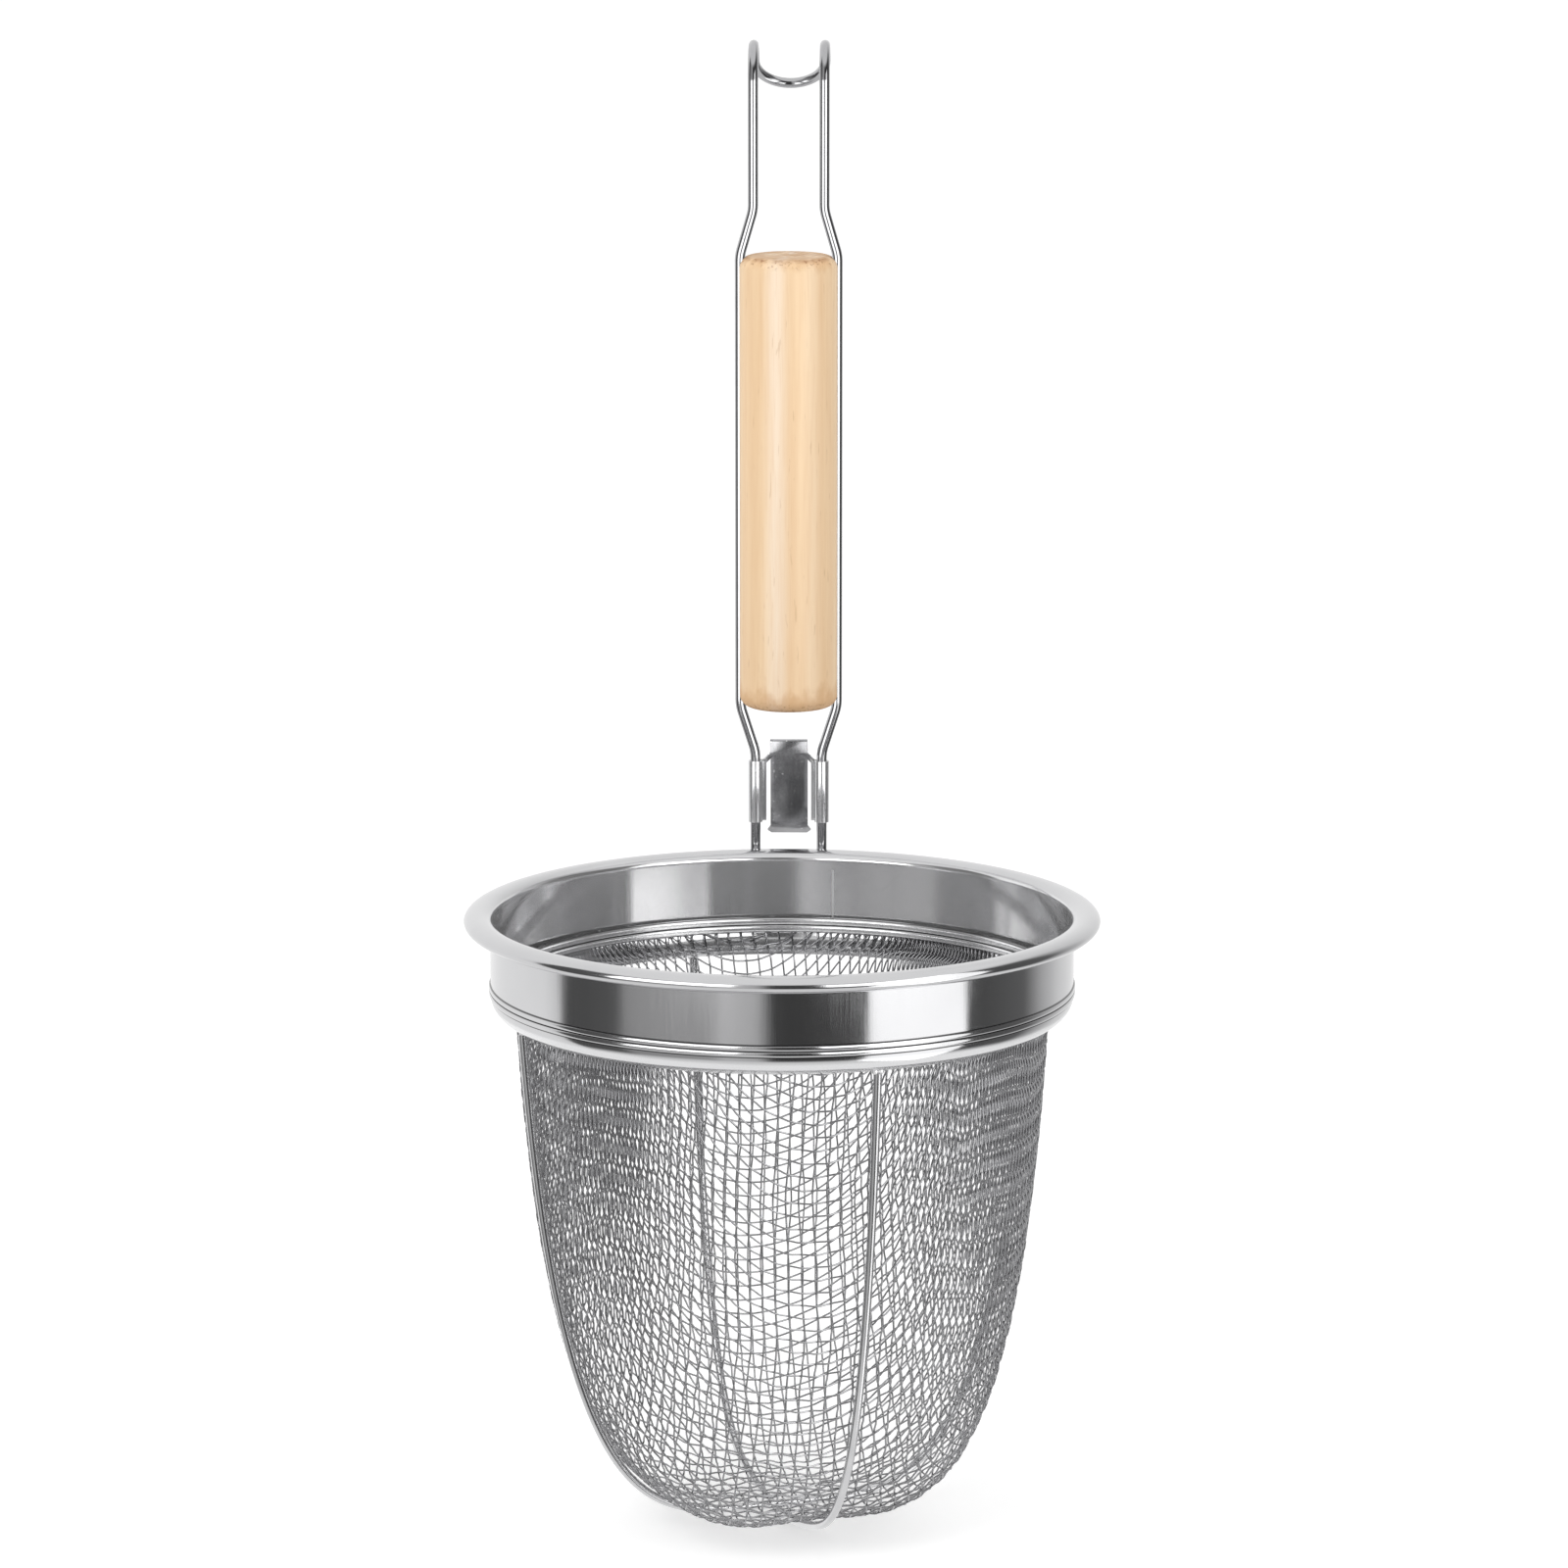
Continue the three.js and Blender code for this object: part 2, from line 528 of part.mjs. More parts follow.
// Pot clip: a sleeve on each wire, a margin beside each, a strap between their tops and the tongue
function makePotClip() {
  const sleeveInner = HANDLE_WIRE_RADIUS + FIT_GAP;
  const sleeveOuter = sleeveInner + CLIP_SHEET;
  const sleeveTop = CLIP_BOTTOM_HEIGHT + SLEEVE_LENGTH;
  const strapFront = HANDLE_Y + sleeveInner;
  const strapBack = HANDLE_Y + sleeveOuter;

  const wrapStart = Math.PI / 2;
  const wrapEnd = wrapStart - THREE.MathUtils.degToRad(SLEEVE_WRAP_DEGREES);
  const roll = new THREE.Shape();
  roll.absarc(0, 0, sleeveOuter, wrapStart, wrapEnd, true);
  roll.absarc(0, 0, sleeveInner, wrapEnd, wrapStart, false);
  const makeSleeve = () => new THREE.ExtrudeGeometry(roll, {
    depth: SLEEVE_LENGTH, bevelEnabled: false, curveSegments: SLEEVE_FACETS,
  });
  const rightSleeve = makeSleeve().translate(LOWER_NECK_X, HANDLE_Y, CLIP_BOTTOM_HEIGHT);
  const leftSleeve = makeSleeve().rotateZ(Math.PI).rotateX(Math.PI);
  leftSleeve.translate(-LOWER_NECK_X, HANDLE_Y, sleeveTop);

  const half = TONGUE_WIDTH / 2;
  const cutHalf = CUT_WIDTH / 2;
  const cutTop = sleeveTop - STRAP_HEIGHT;
  const tabFoot = cutTop + STRAP_SLOPE;
  const foldRadius = SLOT_GAP / 2;
  const foldHeight = sleeveTop + TAB_RISE - foldRadius - CLIP_SHEET;
  const strap = new THREE.Shape([
    new THREE.Vector2(-LOWER_NECK_X, CLIP_BOTTOM_HEIGHT),
    new THREE.Vector2(-cutHalf, CLIP_BOTTOM_HEIGHT),
    new THREE.Vector2(-cutHalf, cutTop),
    new THREE.Vector2(-cutHalf + STRAP_SLOPE, tabFoot),
    new THREE.Vector2(cutHalf - STRAP_SLOPE, tabFoot),
    new THREE.Vector2(cutHalf, cutTop),
    new THREE.Vector2(cutHalf, CLIP_BOTTOM_HEIGHT),
    new THREE.Vector2(LOWER_NECK_X, CLIP_BOTTOM_HEIGHT),
    new THREE.Vector2(LOWER_NECK_X, sleeveTop),
    new THREE.Vector2(half + STRAP_SLOPE, sleeveTop),
    new THREE.Vector2(half, sleeveTop + STRAP_SLOPE),
    new THREE.Vector2(-half, sleeveTop + STRAP_SLOPE),
    new THREE.Vector2(-half - STRAP_SLOPE, sleeveTop),
    new THREE.Vector2(-LOWER_NECK_X, sleeveTop),
  ]);

  const flare = THREE.MathUtils.degToRad(LIP_FLARE_DEGREES);
  const tongueFront = strapBack + SLOT_GAP;
  const tongueBack = tongueFront + CLIP_SHEET;
  const lipTop = foldHeight + foldRadius + CLIP_SHEET - TONGUE_LENGTH;
  const lipReach = LIP_LENGTH * Math.sin(flare);
  const lipDrop = LIP_LENGTH * Math.cos(flare);
  const lipBack = new THREE.Vector2(tongueBack, lipTop + CLIP_SHEET * Math.tan(flare / 2));
  const lipTip = lipBack.clone().add(new THREE.Vector2(lipReach, -lipDrop));
  const lipEdge = new THREE.Vector2(-Math.cos(flare), -Math.sin(flare)).multiplyScalar(CLIP_SHEET);
  const side = new THREE.Shape();
  side.moveTo(strapFront, tabFoot);
  side.lineTo(strapFront, foldHeight);
  side.absarc(strapBack + foldRadius, foldHeight, foldRadius + CLIP_SHEET, Math.PI, 0, true);
  side.lineTo(...lipBack);
  side.lineTo(...lipTip);
  side.lineTo(...lipTip.clone().add(lipEdge));
  side.lineTo(tongueFront, lipTop);
  side.lineTo(tongueFront, foldHeight);
  side.absarc(strapBack + foldRadius, foldHeight, foldRadius, 0, Math.PI, false);
  side.lineTo(strapBack, tabFoot);
  const strip = new THREE.ExtrudeGeometry(side, {
    depth: LIP_WIDTH, bevelEnabled: false, curveSegments: FOLD_FACETS,
  });
  strip.translate(0, 0, -LIP_WIDTH / 2).rotateY(Math.PI / 2).rotateX(Math.PI / 2);

  const lipHalf = LIP_WIDTH / 2;
  const lipBottom = lipTop - LIP_LENGTH;
  const crest = sleeveTop + TAB_RISE;
  const outline = new THREE.Shape([
    new THREE.Vector2(-lipHalf + LIP_CHAMFER, lipBottom),
    new THREE.Vector2(lipHalf - LIP_CHAMFER, lipBottom),
    new THREE.Vector2(lipHalf, lipBottom + LIP_CHAMFER),
    new THREE.Vector2(half, lipTop),
    new THREE.Vector2(half, crest),
    new THREE.Vector2(-half, crest),
    new THREE.Vector2(-half, lipTop),
    new THREE.Vector2(-lipHalf, lipBottom + LIP_CHAMFER),
  ]);
  const blank = plate(outline, strapFront, tongueBack + LIP_LENGTH);
  const tongue = toSolid(strip).intersect(toSolid(blank));
  const body = toSolid(plate(strap, strapFront, strapBack)).add(tongue);
  return toGeometry(body.add(toSolid(rightSleeve)).add(toSolid(leftSleeve)));
}

// The assembly, with its origin where a rail lies under the crown of the hook
const strainer = new THREE.Group();
strainer.position.set(0, -HANDLE_Y - HOOK_BEND_RADIUS, HANDLE_WIRE_DIAMETER - HOOK_CROWN_HEIGHT);

// Add one named piece with a finish of its own, turned about the cup's axis
function addPiece(name, geometry, finish, turnDegrees = 0) {
  const piece = new THREE.Mesh(geometry, new THREE.MeshStandardMaterial(finish));
  piece.name = name;
  piece.rotation.z = THREE.MathUtils.degToRad(turnDegrees);
  strainer.add(piece);
}

const polishedSheet = { color: 0xd2d3d4, roughness: 0.15, metalness: 1 };
const satinStrip = { color: 0xc4c5c6, roughness: 0.25, metalness: 1 };
const satinSheet = { color: 0xa6a7a8, roughness: 0.3, metalness: 1 };
const clothWire = { color: 0xb4b5b6, roughness: 0.35, metalness: 1 };
const cradleWire = { color: 0xbcbdbe, roughness: 0.3, metalness: 1 };
const handleWire = { color: 0xd0d1d2, roughness: 0.2, metalness: 1 };
const paleWood = { color: 0xe8c99a, roughness: 0.55, metalness: 0 };
const crossingDip = CRADLE_WIRE_DIAMETER + FIT_GAP;

addPiece('rim_band', makeRimBand(), polishedSheet);
addPiece('clamp_hoop', makeClampHoop(), satinStrip);
addPiece('mesh_cup', makeMeshCup(), clothWire, CLOTH_TURN_DEGREES);
addPiece('cradle_wire_upper', makeCradleWire(0), cradleWire, CRADLE_TURN_DEGREES);
addPiece('cradle_wire_lower', makeCradleWire(crossingDip), cradleWire, CRADLE_TURN_DEGREES - 90);
addPiece('handle_wire', sweepWire(handlePoints, HANDLE_WIRE_RADIUS, WIRE_SIDES), handleWire);
addPiece('grip', makeGrip(), paleWood);
addPiece('pot_clip', makePotClip(), satinSheet);

export default strainer;
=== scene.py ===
import math
from bisect import bisect_right

import bmesh
import bpy
from mathutils import Matrix, Vector, noise


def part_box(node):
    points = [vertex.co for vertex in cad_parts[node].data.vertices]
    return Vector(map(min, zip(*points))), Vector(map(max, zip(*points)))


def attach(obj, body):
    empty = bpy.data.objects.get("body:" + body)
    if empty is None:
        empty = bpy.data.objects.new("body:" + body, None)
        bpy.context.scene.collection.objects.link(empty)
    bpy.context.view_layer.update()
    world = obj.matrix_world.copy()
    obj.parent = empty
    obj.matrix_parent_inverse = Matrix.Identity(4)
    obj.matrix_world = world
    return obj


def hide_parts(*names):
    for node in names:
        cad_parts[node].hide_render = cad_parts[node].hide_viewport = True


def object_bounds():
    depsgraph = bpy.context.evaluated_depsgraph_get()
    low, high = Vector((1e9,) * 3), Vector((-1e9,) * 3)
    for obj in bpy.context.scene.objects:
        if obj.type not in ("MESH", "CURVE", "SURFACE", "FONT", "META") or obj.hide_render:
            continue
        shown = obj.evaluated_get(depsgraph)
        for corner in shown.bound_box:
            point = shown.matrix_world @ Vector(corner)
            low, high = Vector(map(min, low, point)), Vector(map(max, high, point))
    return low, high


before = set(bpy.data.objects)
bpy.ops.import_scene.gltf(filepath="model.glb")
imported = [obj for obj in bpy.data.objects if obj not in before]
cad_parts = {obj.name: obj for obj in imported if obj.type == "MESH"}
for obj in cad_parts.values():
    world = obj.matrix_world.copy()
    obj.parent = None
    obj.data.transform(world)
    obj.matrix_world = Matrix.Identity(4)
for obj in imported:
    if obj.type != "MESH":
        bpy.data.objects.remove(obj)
cad_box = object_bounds()


# Rim band
# A strip of polished stainless sheet, welded into a ring. Its top edge is rolled outwards into a
# flat oval bead, two fine ridges are pressed round it, and its lower edge is spun inwards.
mm = 0.001
band_low, band_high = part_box("rim_band")
rim = Vector((0, (band_low.y + band_high.y) / 2, band_high.z))
rim_radius = (band_high.x - band_low.x) / 2
band_sheet = 0.6 * mm
bead_width = 6.8 * mm
bead_height = 4 * mm
bead_curl = 310
face_depth = 16.8 * mm
ridge_count = 2
ridge_pitch = 1.4 * mm
ridge_height = 0.4 * mm
shoulder_run = 5.4 * mm
shoulder_drop = 5 * mm
groove_reach = 0.26 * mm
wall_hold = 0.4 * mm
ring_segments = 288
shoulder_steps = 12
ridge_steps = 8
curl_steps = 28
bead_steps = 36
band_colors = (0.66, 0.66, 0.67), (0.58, 0.58, 0.59)
band_mirror = 0.07
band_haze = 0.2
satin_color = (0.8, 0.8, 0.81)
satin_start = 0.1 * mm
satin_end = 0.4 * mm
satin_dulling = 0.15
# Painted shade: the colour, and how far it is mixed in, that darken the creases between the ridges
groove_shade_color = (0.04, 0.04, 0.04)
groove_shade_share = 0.85
merge_reach = 0.001 * mm

band_inner = rim_radius - bead_width
band_outer = band_inner + band_sheet
shoulder_top = -face_depth - ridge_count * ridge_pitch
shoulder_bottom = shoulder_top - shoulder_drop
lip_radius = band_outer - shoulder_run


class Flow:
    """A socket of a node tree: arithmetic on it adds Math nodes, and add() puts in any other node"""

    def __init__(self, tree, socket=None):
        self.tree = tree
        self.socket = socket

    def add(self, kind, settings, links, out):
        node = self.tree.nodes.new(kind)
        for name, value in settings.items():
            if name == "stops":
                ramp = node.color_ramp.elements
                while len(ramp) < len(value):
                    ramp.new(1)
                for stop, (position, color) in zip(ramp, value):
                    stop.position = position
                    stop.color = color
            else:
                setattr(node, name, value)
        for name, value in links.items():
            if isinstance(value, Flow):
                self.tree.links.new(value.socket, node.inputs[name])
            else:
                node.inputs[name].default_value = value
        return Flow(self.tree, node.outputs[out])

    def out(self, name):
        return Flow(self.tree, self.socket.node.outputs[name])

    def into(self, target):
        self.tree.links.new(self.socket, target)

    def math(self, operation, *values):
        return self.add("ShaderNodeMath", {"operation": operation}, dict(enumerate(values)), 0)

    def __add__(self, other):
        return self.math("ADD", self, other)

    def __sub__(self, other):
        return self.math("SUBTRACT", self, other)

    def __rsub__(self, other):
        return self.math("SUBTRACT", other, self)

    def __mul__(self, other):
        return self.math("MULTIPLY", self, other)

    def __truediv__(self, other):
        return self.math("DIVIDE", self, other)

    __radd__ = __add__
    __rmul__ = __mul__

    def noise(self, vector, scale, detail=2.0):
        links = {"Vector": vector, "Scale": scale, "Detail": detail}
        return self.add("ShaderNodeTexNoise", {}, links, 0)

    def vector(self, x, y, z):
        return self.add("ShaderNodeCombineXYZ", {}, {"X": x, "Y": y, "Z": z}, 0)

    def blend(self, share, first, second):
        first = first if isinstance(first, Flow) else (*first, 1)
        links = {0: share, 6: first, 7: (*second, 1)}
        return self.add("ShaderNodeMix", {"data_type": "RGBA"}, links, 2)

    def ease(self, value, start, end):
        links = {"Value": value, "From Min": start, "From Max": end}
        return self.add("ShaderNodeMapRange", {"interpolation_type": "SMOOTHSTEP"}, links, 0)

    def bump(self, height, strength, distance):
        links = {"Height": height, "Strength": strength, "Distance": distance}
        return self.add("ShaderNodeBump", {}, links, 0)


def new_finish(name, centre, metallic, roughness):
    """A new material, its shader's sockets, and a place measured from a chosen centre"""
    material = bpy.data.materials.new(name)
    material.use_nodes = True
    shader = material.node_tree.nodes["Principled BSDF"].inputs
    shader["Metallic"].default_value = metallic
    shader["Roughness"].default_value = roughness
    flow = Flow(material.node_tree)
    place = flow.add("ShaderNodeTexCoord", {}, {}, "Object")
    place = flow.add("ShaderNodeMapping", {}, {"Vector": place, "Location": -centre}, 0)
    return material, shader, place


def polished_ring(name, pale, dark, mirror, haze, grooves, inner_radius):
    """Steel that was polished across the strip, so that fine upright lines cross its reflections, with
    shade painted into the creases at given heights and a satin inner face"""
    material, shader, place = new_finish(name, rim, 1, mirror)
    x = place.add("ShaderNodeSeparateXYZ", {}, {"Vector": place}, "X")
    y, z = x.out("Y"), x.out("Z")
    around = x.math("ARCTAN2", x, y) * rim_radius
    lines = x.noise(x.vector(around, z * 0.02, 0), scale=2600, detail=3)
    smears = x.noise(place, scale=55, detail=3)
    # Painted shade: the base colour darkens in a thin line at each crease height
    shade = 0
    for height in grooves:
        shade = shade + (1 - x.ease(x.math("ABSOLUTE", z - height), 0.4 * groove_reach, groove_reach))
    radius = x.math("SQRT", x * x + y * y)
    satin = 1 - x.ease(radius, inner_radius + satin_start, inner_radius + satin_end)
    color = x.blend(satin, x.blend(smears, pale, dark), satin_color)
    x.blend(shade * groove_shade_share, color, groove_shade_color).into(shader["Base Color"])
    (1 - satin_dulling * satin).into(shader["Metallic"])
    (mirror + haze * lines * smears).into(shader["Roughness"])
    x.bump(lines, strength=0.12, distance=0.02 * mm).into(shader["Normal"])
    return material


def oval_arc(centre, radii, start, end, steps):
    """Points of an oval arc in radius and height, with its angles in degrees"""
    angles = [math.radians(start + (end - start) * k / steps) for k in range(steps + 1)]
    return [Vector((centre.x + radii.x * math.cos(a), centre.y + radii.y * math.sin(a))) for a in angles]


def clean(mesh, sharp=35):
    """Doubles merged, faces turned outwards, and shading smooth except across sharp edges"""
    work = bmesh.new()
    work.from_mesh(mesh)
    bmesh.ops.remove_doubles(work, verts=work.verts, dist=merge_reach)
    bmesh.ops.recalc_face_normals(work, faces=work.faces)
    work.to_mesh(mesh)
    work.free()
    mesh.shade_smooth()
    mesh.set_sharp_from_angle(angle=math.radians(sharp))
    return mesh


def new_piece(name, mesh, material):
    """An object at the origin that shows a mesh in one finish"""
    mesh.materials.clear()
    mesh.materials.append(material)
    piece = bpy.data.objects.new(name, mesh)
    bpy.context.scene.collection.objects.link(piece)
    return piece


def turned_ring(name, profile, segments):
    """A closed profile of radius and height, turned about the axis of the cup"""
    turns = [2 * math.pi * k / segments for k in range(segments)]
    points = [rim + Vector((p.x * math.sin(t), -p.x * math.cos(t), p.y)) for t in turns for p in profile]
    count = len(profile)
    faces = []
    for k in range(segments):
        here, there = k * count, (k + 1) % segments * count
        for n in range(count):
            after = (n + 1) % count
            faces.append((here + n, there + n, there + after, here + after))
    mesh = bpy.data.meshes.new(name)
    mesh.from_pydata(points, [], faces)
    return clean(mesh)


shoulder_centre = Vector((lip_radius, shoulder_top))
shoulder_outer = Vector((shoulder_run, shoulder_drop))
shoulder_inner = shoulder_outer - Vector((band_sheet, band_sheet))
bead_centre = Vector((rim_radius - bead_width / 2, -bead_height / 2))
bead_outer = Vector((bead_width / 2, bead_height / 2))
bead_inner = bead_outer - Vector((band_sheet, band_sheet))
ridge = Vector((ridge_height, ridge_pitch / 2))
band_profile = oval_arc(shoulder_centre, shoulder_outer, -90, 0, shoulder_steps)
for k in range(ridge_count):
    middle = Vector((band_outer, shoulder_top + ridge_pitch * (k + 0.5)))
    band_profile += oval_arc(middle, ridge, -90, 90, ridge_steps)[1:]
band_profile.append(Vector((band_outer, wall_hold - face_depth)))
band_profile.append(Vector((band_outer, bead_centre.y - wall_hold)))
band_profile += oval_arc(bead_centre, bead_inner, 180, 180 - bead_curl, curl_steps)
band_profile += oval_arc(bead_centre, bead_outer, 180 - bead_curl, 180, bead_steps)
band_profile.append(Vector((band_inner, bead_centre.y - wall_hold)))
band_profile.append(Vector((band_inner, shoulder_top + wall_hold)))
band_profile += oval_arc(shoulder_centre, shoulder_inner, 0, -90, shoulder_steps)

# Heights of the band's creases, where shade is painted into its colour
band_crease_shade_heights = [shoulder_top + ridge_pitch * k for k in range(ridge_count + 1)]
band_steel = polished_ring("band_steel", *band_colors, band_mirror, band_haze, band_crease_shade_heights, band_inner)
band = new_piece("polished_band", turned_ring("polished_band", band_profile, ring_segments), band_steel)
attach(band, "root")
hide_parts("rim_band")


# Seam of the rim band
# The strip's two ends are butt welded at the back, a little to the right of the handle, and the
# weld is ground almost flush. It stays as a thin raised line on both faces of the band.
seam_turn = math.radians(9.3)
seam_width = 0.5 * mm
seam_sunk = 0.17 * mm
seam_top = -bead_height - 0.4 * mm
seam_bottom = -face_depth + 0.6 * mm
seam_sides = 12
weld_colors = (0.92, 0.92, 0.92), (0.74, 0.74, 0.75)


def new_group(name, inputs):
    """An empty node group with one geometry output, and the identifiers of its named inputs"""
    tree = bpy.data.node_groups.new(name, "GeometryNodeTree")
    sockets = {}
    for title, kind in inputs.items():
        socket = tree.interface.new_socket(title, in_out="INPUT", socket_type="NodeSocket" + kind)
        sockets[title] = socket.identifier
    tree.interface.new_socket("Made", in_out="OUTPUT", socket_type="NodeSocketGeometry")
    return tree, sockets


def wire_group():
    """Node group that draws a round wire along every line of a mesh of edges"""
    inputs = {"Lines": "Geometry", "Diameter": "Float", "Sides": "Int", "Finish": "Material"}
    tree, sockets = new_group("drawn_wire", inputs)
    lines = Flow(tree).add("NodeGroupInput", {}, {}, "Lines")
    curve = lines.add("GeometryNodeMeshToCurve", {}, {"Mesh": lines}, 0)
    circle = {"Resolution": lines.out("Sides"), "Radius": lines.out("Diameter") * 0.5}
    section = lines.add("GeometryNodeCurvePrimitiveCircle", {}, circle, 0)
    sweep = {"Curve": curve, "Profile Curve": section, "Fill Caps": True}
    wire = lines.add("GeometryNodeCurveToMesh", {}, sweep, 0)
    wire = lines.add("GeometryNodeSetShadeSmooth", {}, {"Geometry": wire}, 0)
    wire = lines.add("GeometryNodeRealizeInstances", {}, {"Geometry": wire}, 0)
    wire = lines.add("GeometryNodeSetMaterial", {}, {"Geometry": wire, "Material": lines.out("Finish")}, 0)
    wire.into(tree.nodes.new("NodeGroupOutput").inputs["Made"])
    return tree, sockets


def settle(piece):
    """Turn what a piece's modifiers make into its plain mesh"""
    made = piece.evaluated_get(bpy.context.evaluated_depsgraph_get())
    mesh = bpy.data.meshes.new_from_object(made)
    piece.modifiers.clear()
    piece.data = mesh
    return piece


def grown(name, points, edges, group, values):
    """A piece that a node group makes from points and edges"""
    tree, sockets = group
    mesh = bpy.data.meshes.new(name)
    mesh.from_pydata(points, edges, [])
    piece = bpy.data.objects.new(name, mesh)
    bpy.context.scene.collection.objects.link(piece)
    grow = piece.modifiers.new("Grow", "NODES")
    grow.node_group = tree
    for socket, value in values.items():
        grow[sockets[socket]] = value
    return settle(piece)


drawn_wire_group = wire_group()


def drawn_wire(name, paths, diameter, sides, material):
    """A piece of round wire along each path of points"""
    points, edges = [], []
    for path in paths:
        first = len(points)
        points += path
        edges += [(k, k + 1) for k in range(first, len(points) - 1)]
    values = {"Diameter": diameter, "Sides": sides, "Finish": material}
    return grown(name, points, edges, drawn_wire_group, values)


def seam_line(radius):
    """Upright line on the band at the seam"""
    foot = rim + Vector((radius * math.sin(seam_turn), radius * math.cos(seam_turn), 0))
    return [foot + Vector((0, 0, seam_bottom)), foot + Vector((0, 0, seam_top))]


def weld_metal():
    """Ground weld: paler and duller than the polished band, with fine ripples"""
    material, shader, place = new_finish("weld_metal", rim, 1, 0.5)
    ripples = place.noise(place, scale=1100, detail=2)
    place.blend(ripples, *weld_colors).into(shader["Base Color"])
    (0.4 + 0.2 * ripples).into(shader["Roughness"])
    return material


seam_lines = [seam_line(band_inner + seam_sunk), seam_line(band_outer - seam_sunk)]
weld_steel = weld_metal()
seam = drawn_wire("band_seam", seam_lines, seam_width, seam_sides, weld_steel)
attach(seam, "root")


# Clamp hoop
# A narrow ribbed ring of stainless strip, pressed inside the band so that the edge of the cloth
# is trapped behind it. Its ribs show from above as fine lines below the polished face.
hoop_sheet = 0.8 * mm
hoop_height = 3.6 * mm
hoop_rib_height = 0.45 * mm
hoop_seat = 1.5 * mm
rib_steps = 10
hoop_colors = (0.66, 0.66, 0.67), (0.56, 0.56, 0.57)
hoop_mirror = 0.12
hoop_haze = 0.2

hoop_outer = band_inner - hoop_seat
hoop_inner = hoop_outer - hoop_sheet
hoop_top = shoulder_top + hoop_height
rib_pitch = hoop_height / ridge_count
rib = Vector((hoop_rib_height, rib_pitch / 2))
hoop_profile = [Vector((hoop_outer, shoulder_top)), Vector((hoop_outer, hoop_top))]
hoop_profile.append(Vector((hoop_inner, hoop_top)))
for k in reversed(range(ridge_count)):
    middle = Vector((hoop_inner, shoulder_top + rib_pitch * (k + 0.5)))
    hoop_profile += oval_arc(middle, rib, 90, 270, rib_steps)[1:]

# Heights of the hoop's creases, where shade is painted into its colour
hoop_crease_shade_heights = [shoulder_top + rib_pitch * k for k in range(ridge_count + 1)]
hoop_steel = polished_ring("hoop_steel", *hoop_colors, hoop_mirror, hoop_haze, hoop_crease_shade_heights, hoop_inner)
hoop = new_piece("ribbed_hoop", turned_ring("ribbed_hoop", hoop_profile, ring_segments), hoop_steel)
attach(hoop, "root")
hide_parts("clamp_hoop")


# Wire cloth of the cup
# Square weave of fine stainless wire, pressed into a bell. The wires slide on each other but keep
# their length, so the gaps shear into diamonds between the two straight wires through the bottom.
cloth_pitch = 3.1 * mm
cloth_wire = 0.45 * mm
cloth_sides = 6
cloth_turn = math.radians(9.2)
cup_depth = 119 * mm
cup_taper = 9.6 * mm
cup_belly = 2.6
cup_corner = 4.3
profile_steps = 3000
profile_crowding = 4
lip_gap = 0.75 * mm
edge_gap = 1.35 * mm
edge_short = 0.4 * mm
drape_tries = 40
cloth_slip = 18 * mm
slip_power = 1.5
crimp = 0.46
lobe_height = 3.6 * mm
lobe_rise = 0.3
lobe_fall = 0.6
cradle_turn = math.radians(21)
waver = 0.16 * mm
waver_span = 9 * mm
waver_finer = 3
calm_reach = 8 * mm
drift = 1.5 * mm
drift_span = 45 * mm
drift_finer = 2.7
weave_seed = 7
cloth_colors = (0.44, 0.44, 0.45), (0.3, 0.3, 0.31)
cloth_mirror = 0.12

cup_top_radius = lip_radius - lip_gap


def cup_profile(share):
    """Radius and height of the bell, from its top at share 0 to its bottom at share 1"""
    side = cup_top_radius - cup_taper * share
    return Vector((side * (1 - share**cup_belly) ** (1 / cup_corner), shoulder_bottom - cup_depth * share))


cup_line = [cup_profile(1 - (k / profile_steps) ** profile_crowding) for k in range(profile_steps + 1)]
turned_edge = shoulder_inner - Vector((edge_gap - band_sheet, edge_gap - band_sheet))
cup_line += oval_arc(shoulder_centre, turned_edge, -90, 0, shoulder_steps)
cup_line.append(Vector((lip_radius + turned_edge.x, hoop_top - edge_short)))
cup_runs = [0.0]
for before, after in zip(cup_line, cup_line[1:]):
    cup_runs.append(cup_runs[-1] + (after - before).length)
cup_run = cup_runs[profile_steps]
edge_run = cup_runs[-1]


def cup_at(run):
    """Radius and height at a run along the cloth from the middle of its bottom"""
    k = min(max(bisect_right(cup_runs, run), 1), len(cup_runs) - 1)
    share = (run - cup_runs[k - 1]) / (cup_runs[k] - cup_runs[k - 1])
    return cup_line[k - 1].lerp(cup_line[k], share)


def cup_outward(run):
    """Direction that leaves the cloth squarely, in radius and height"""
    span = 0.5 * mm
    along = cup_at(run + span) - cup_at(max(run - span, 0))
    return Vector((along.y, -along.x)).normalized()


def knot_point(run, turn):
    """A knot of the cloth in space, measured from the rim's middle"""
    at = cup_at(max(run, 0))
    return Vector((at.x * math.cos(turn), at.x * math.sin(turn), at.y))


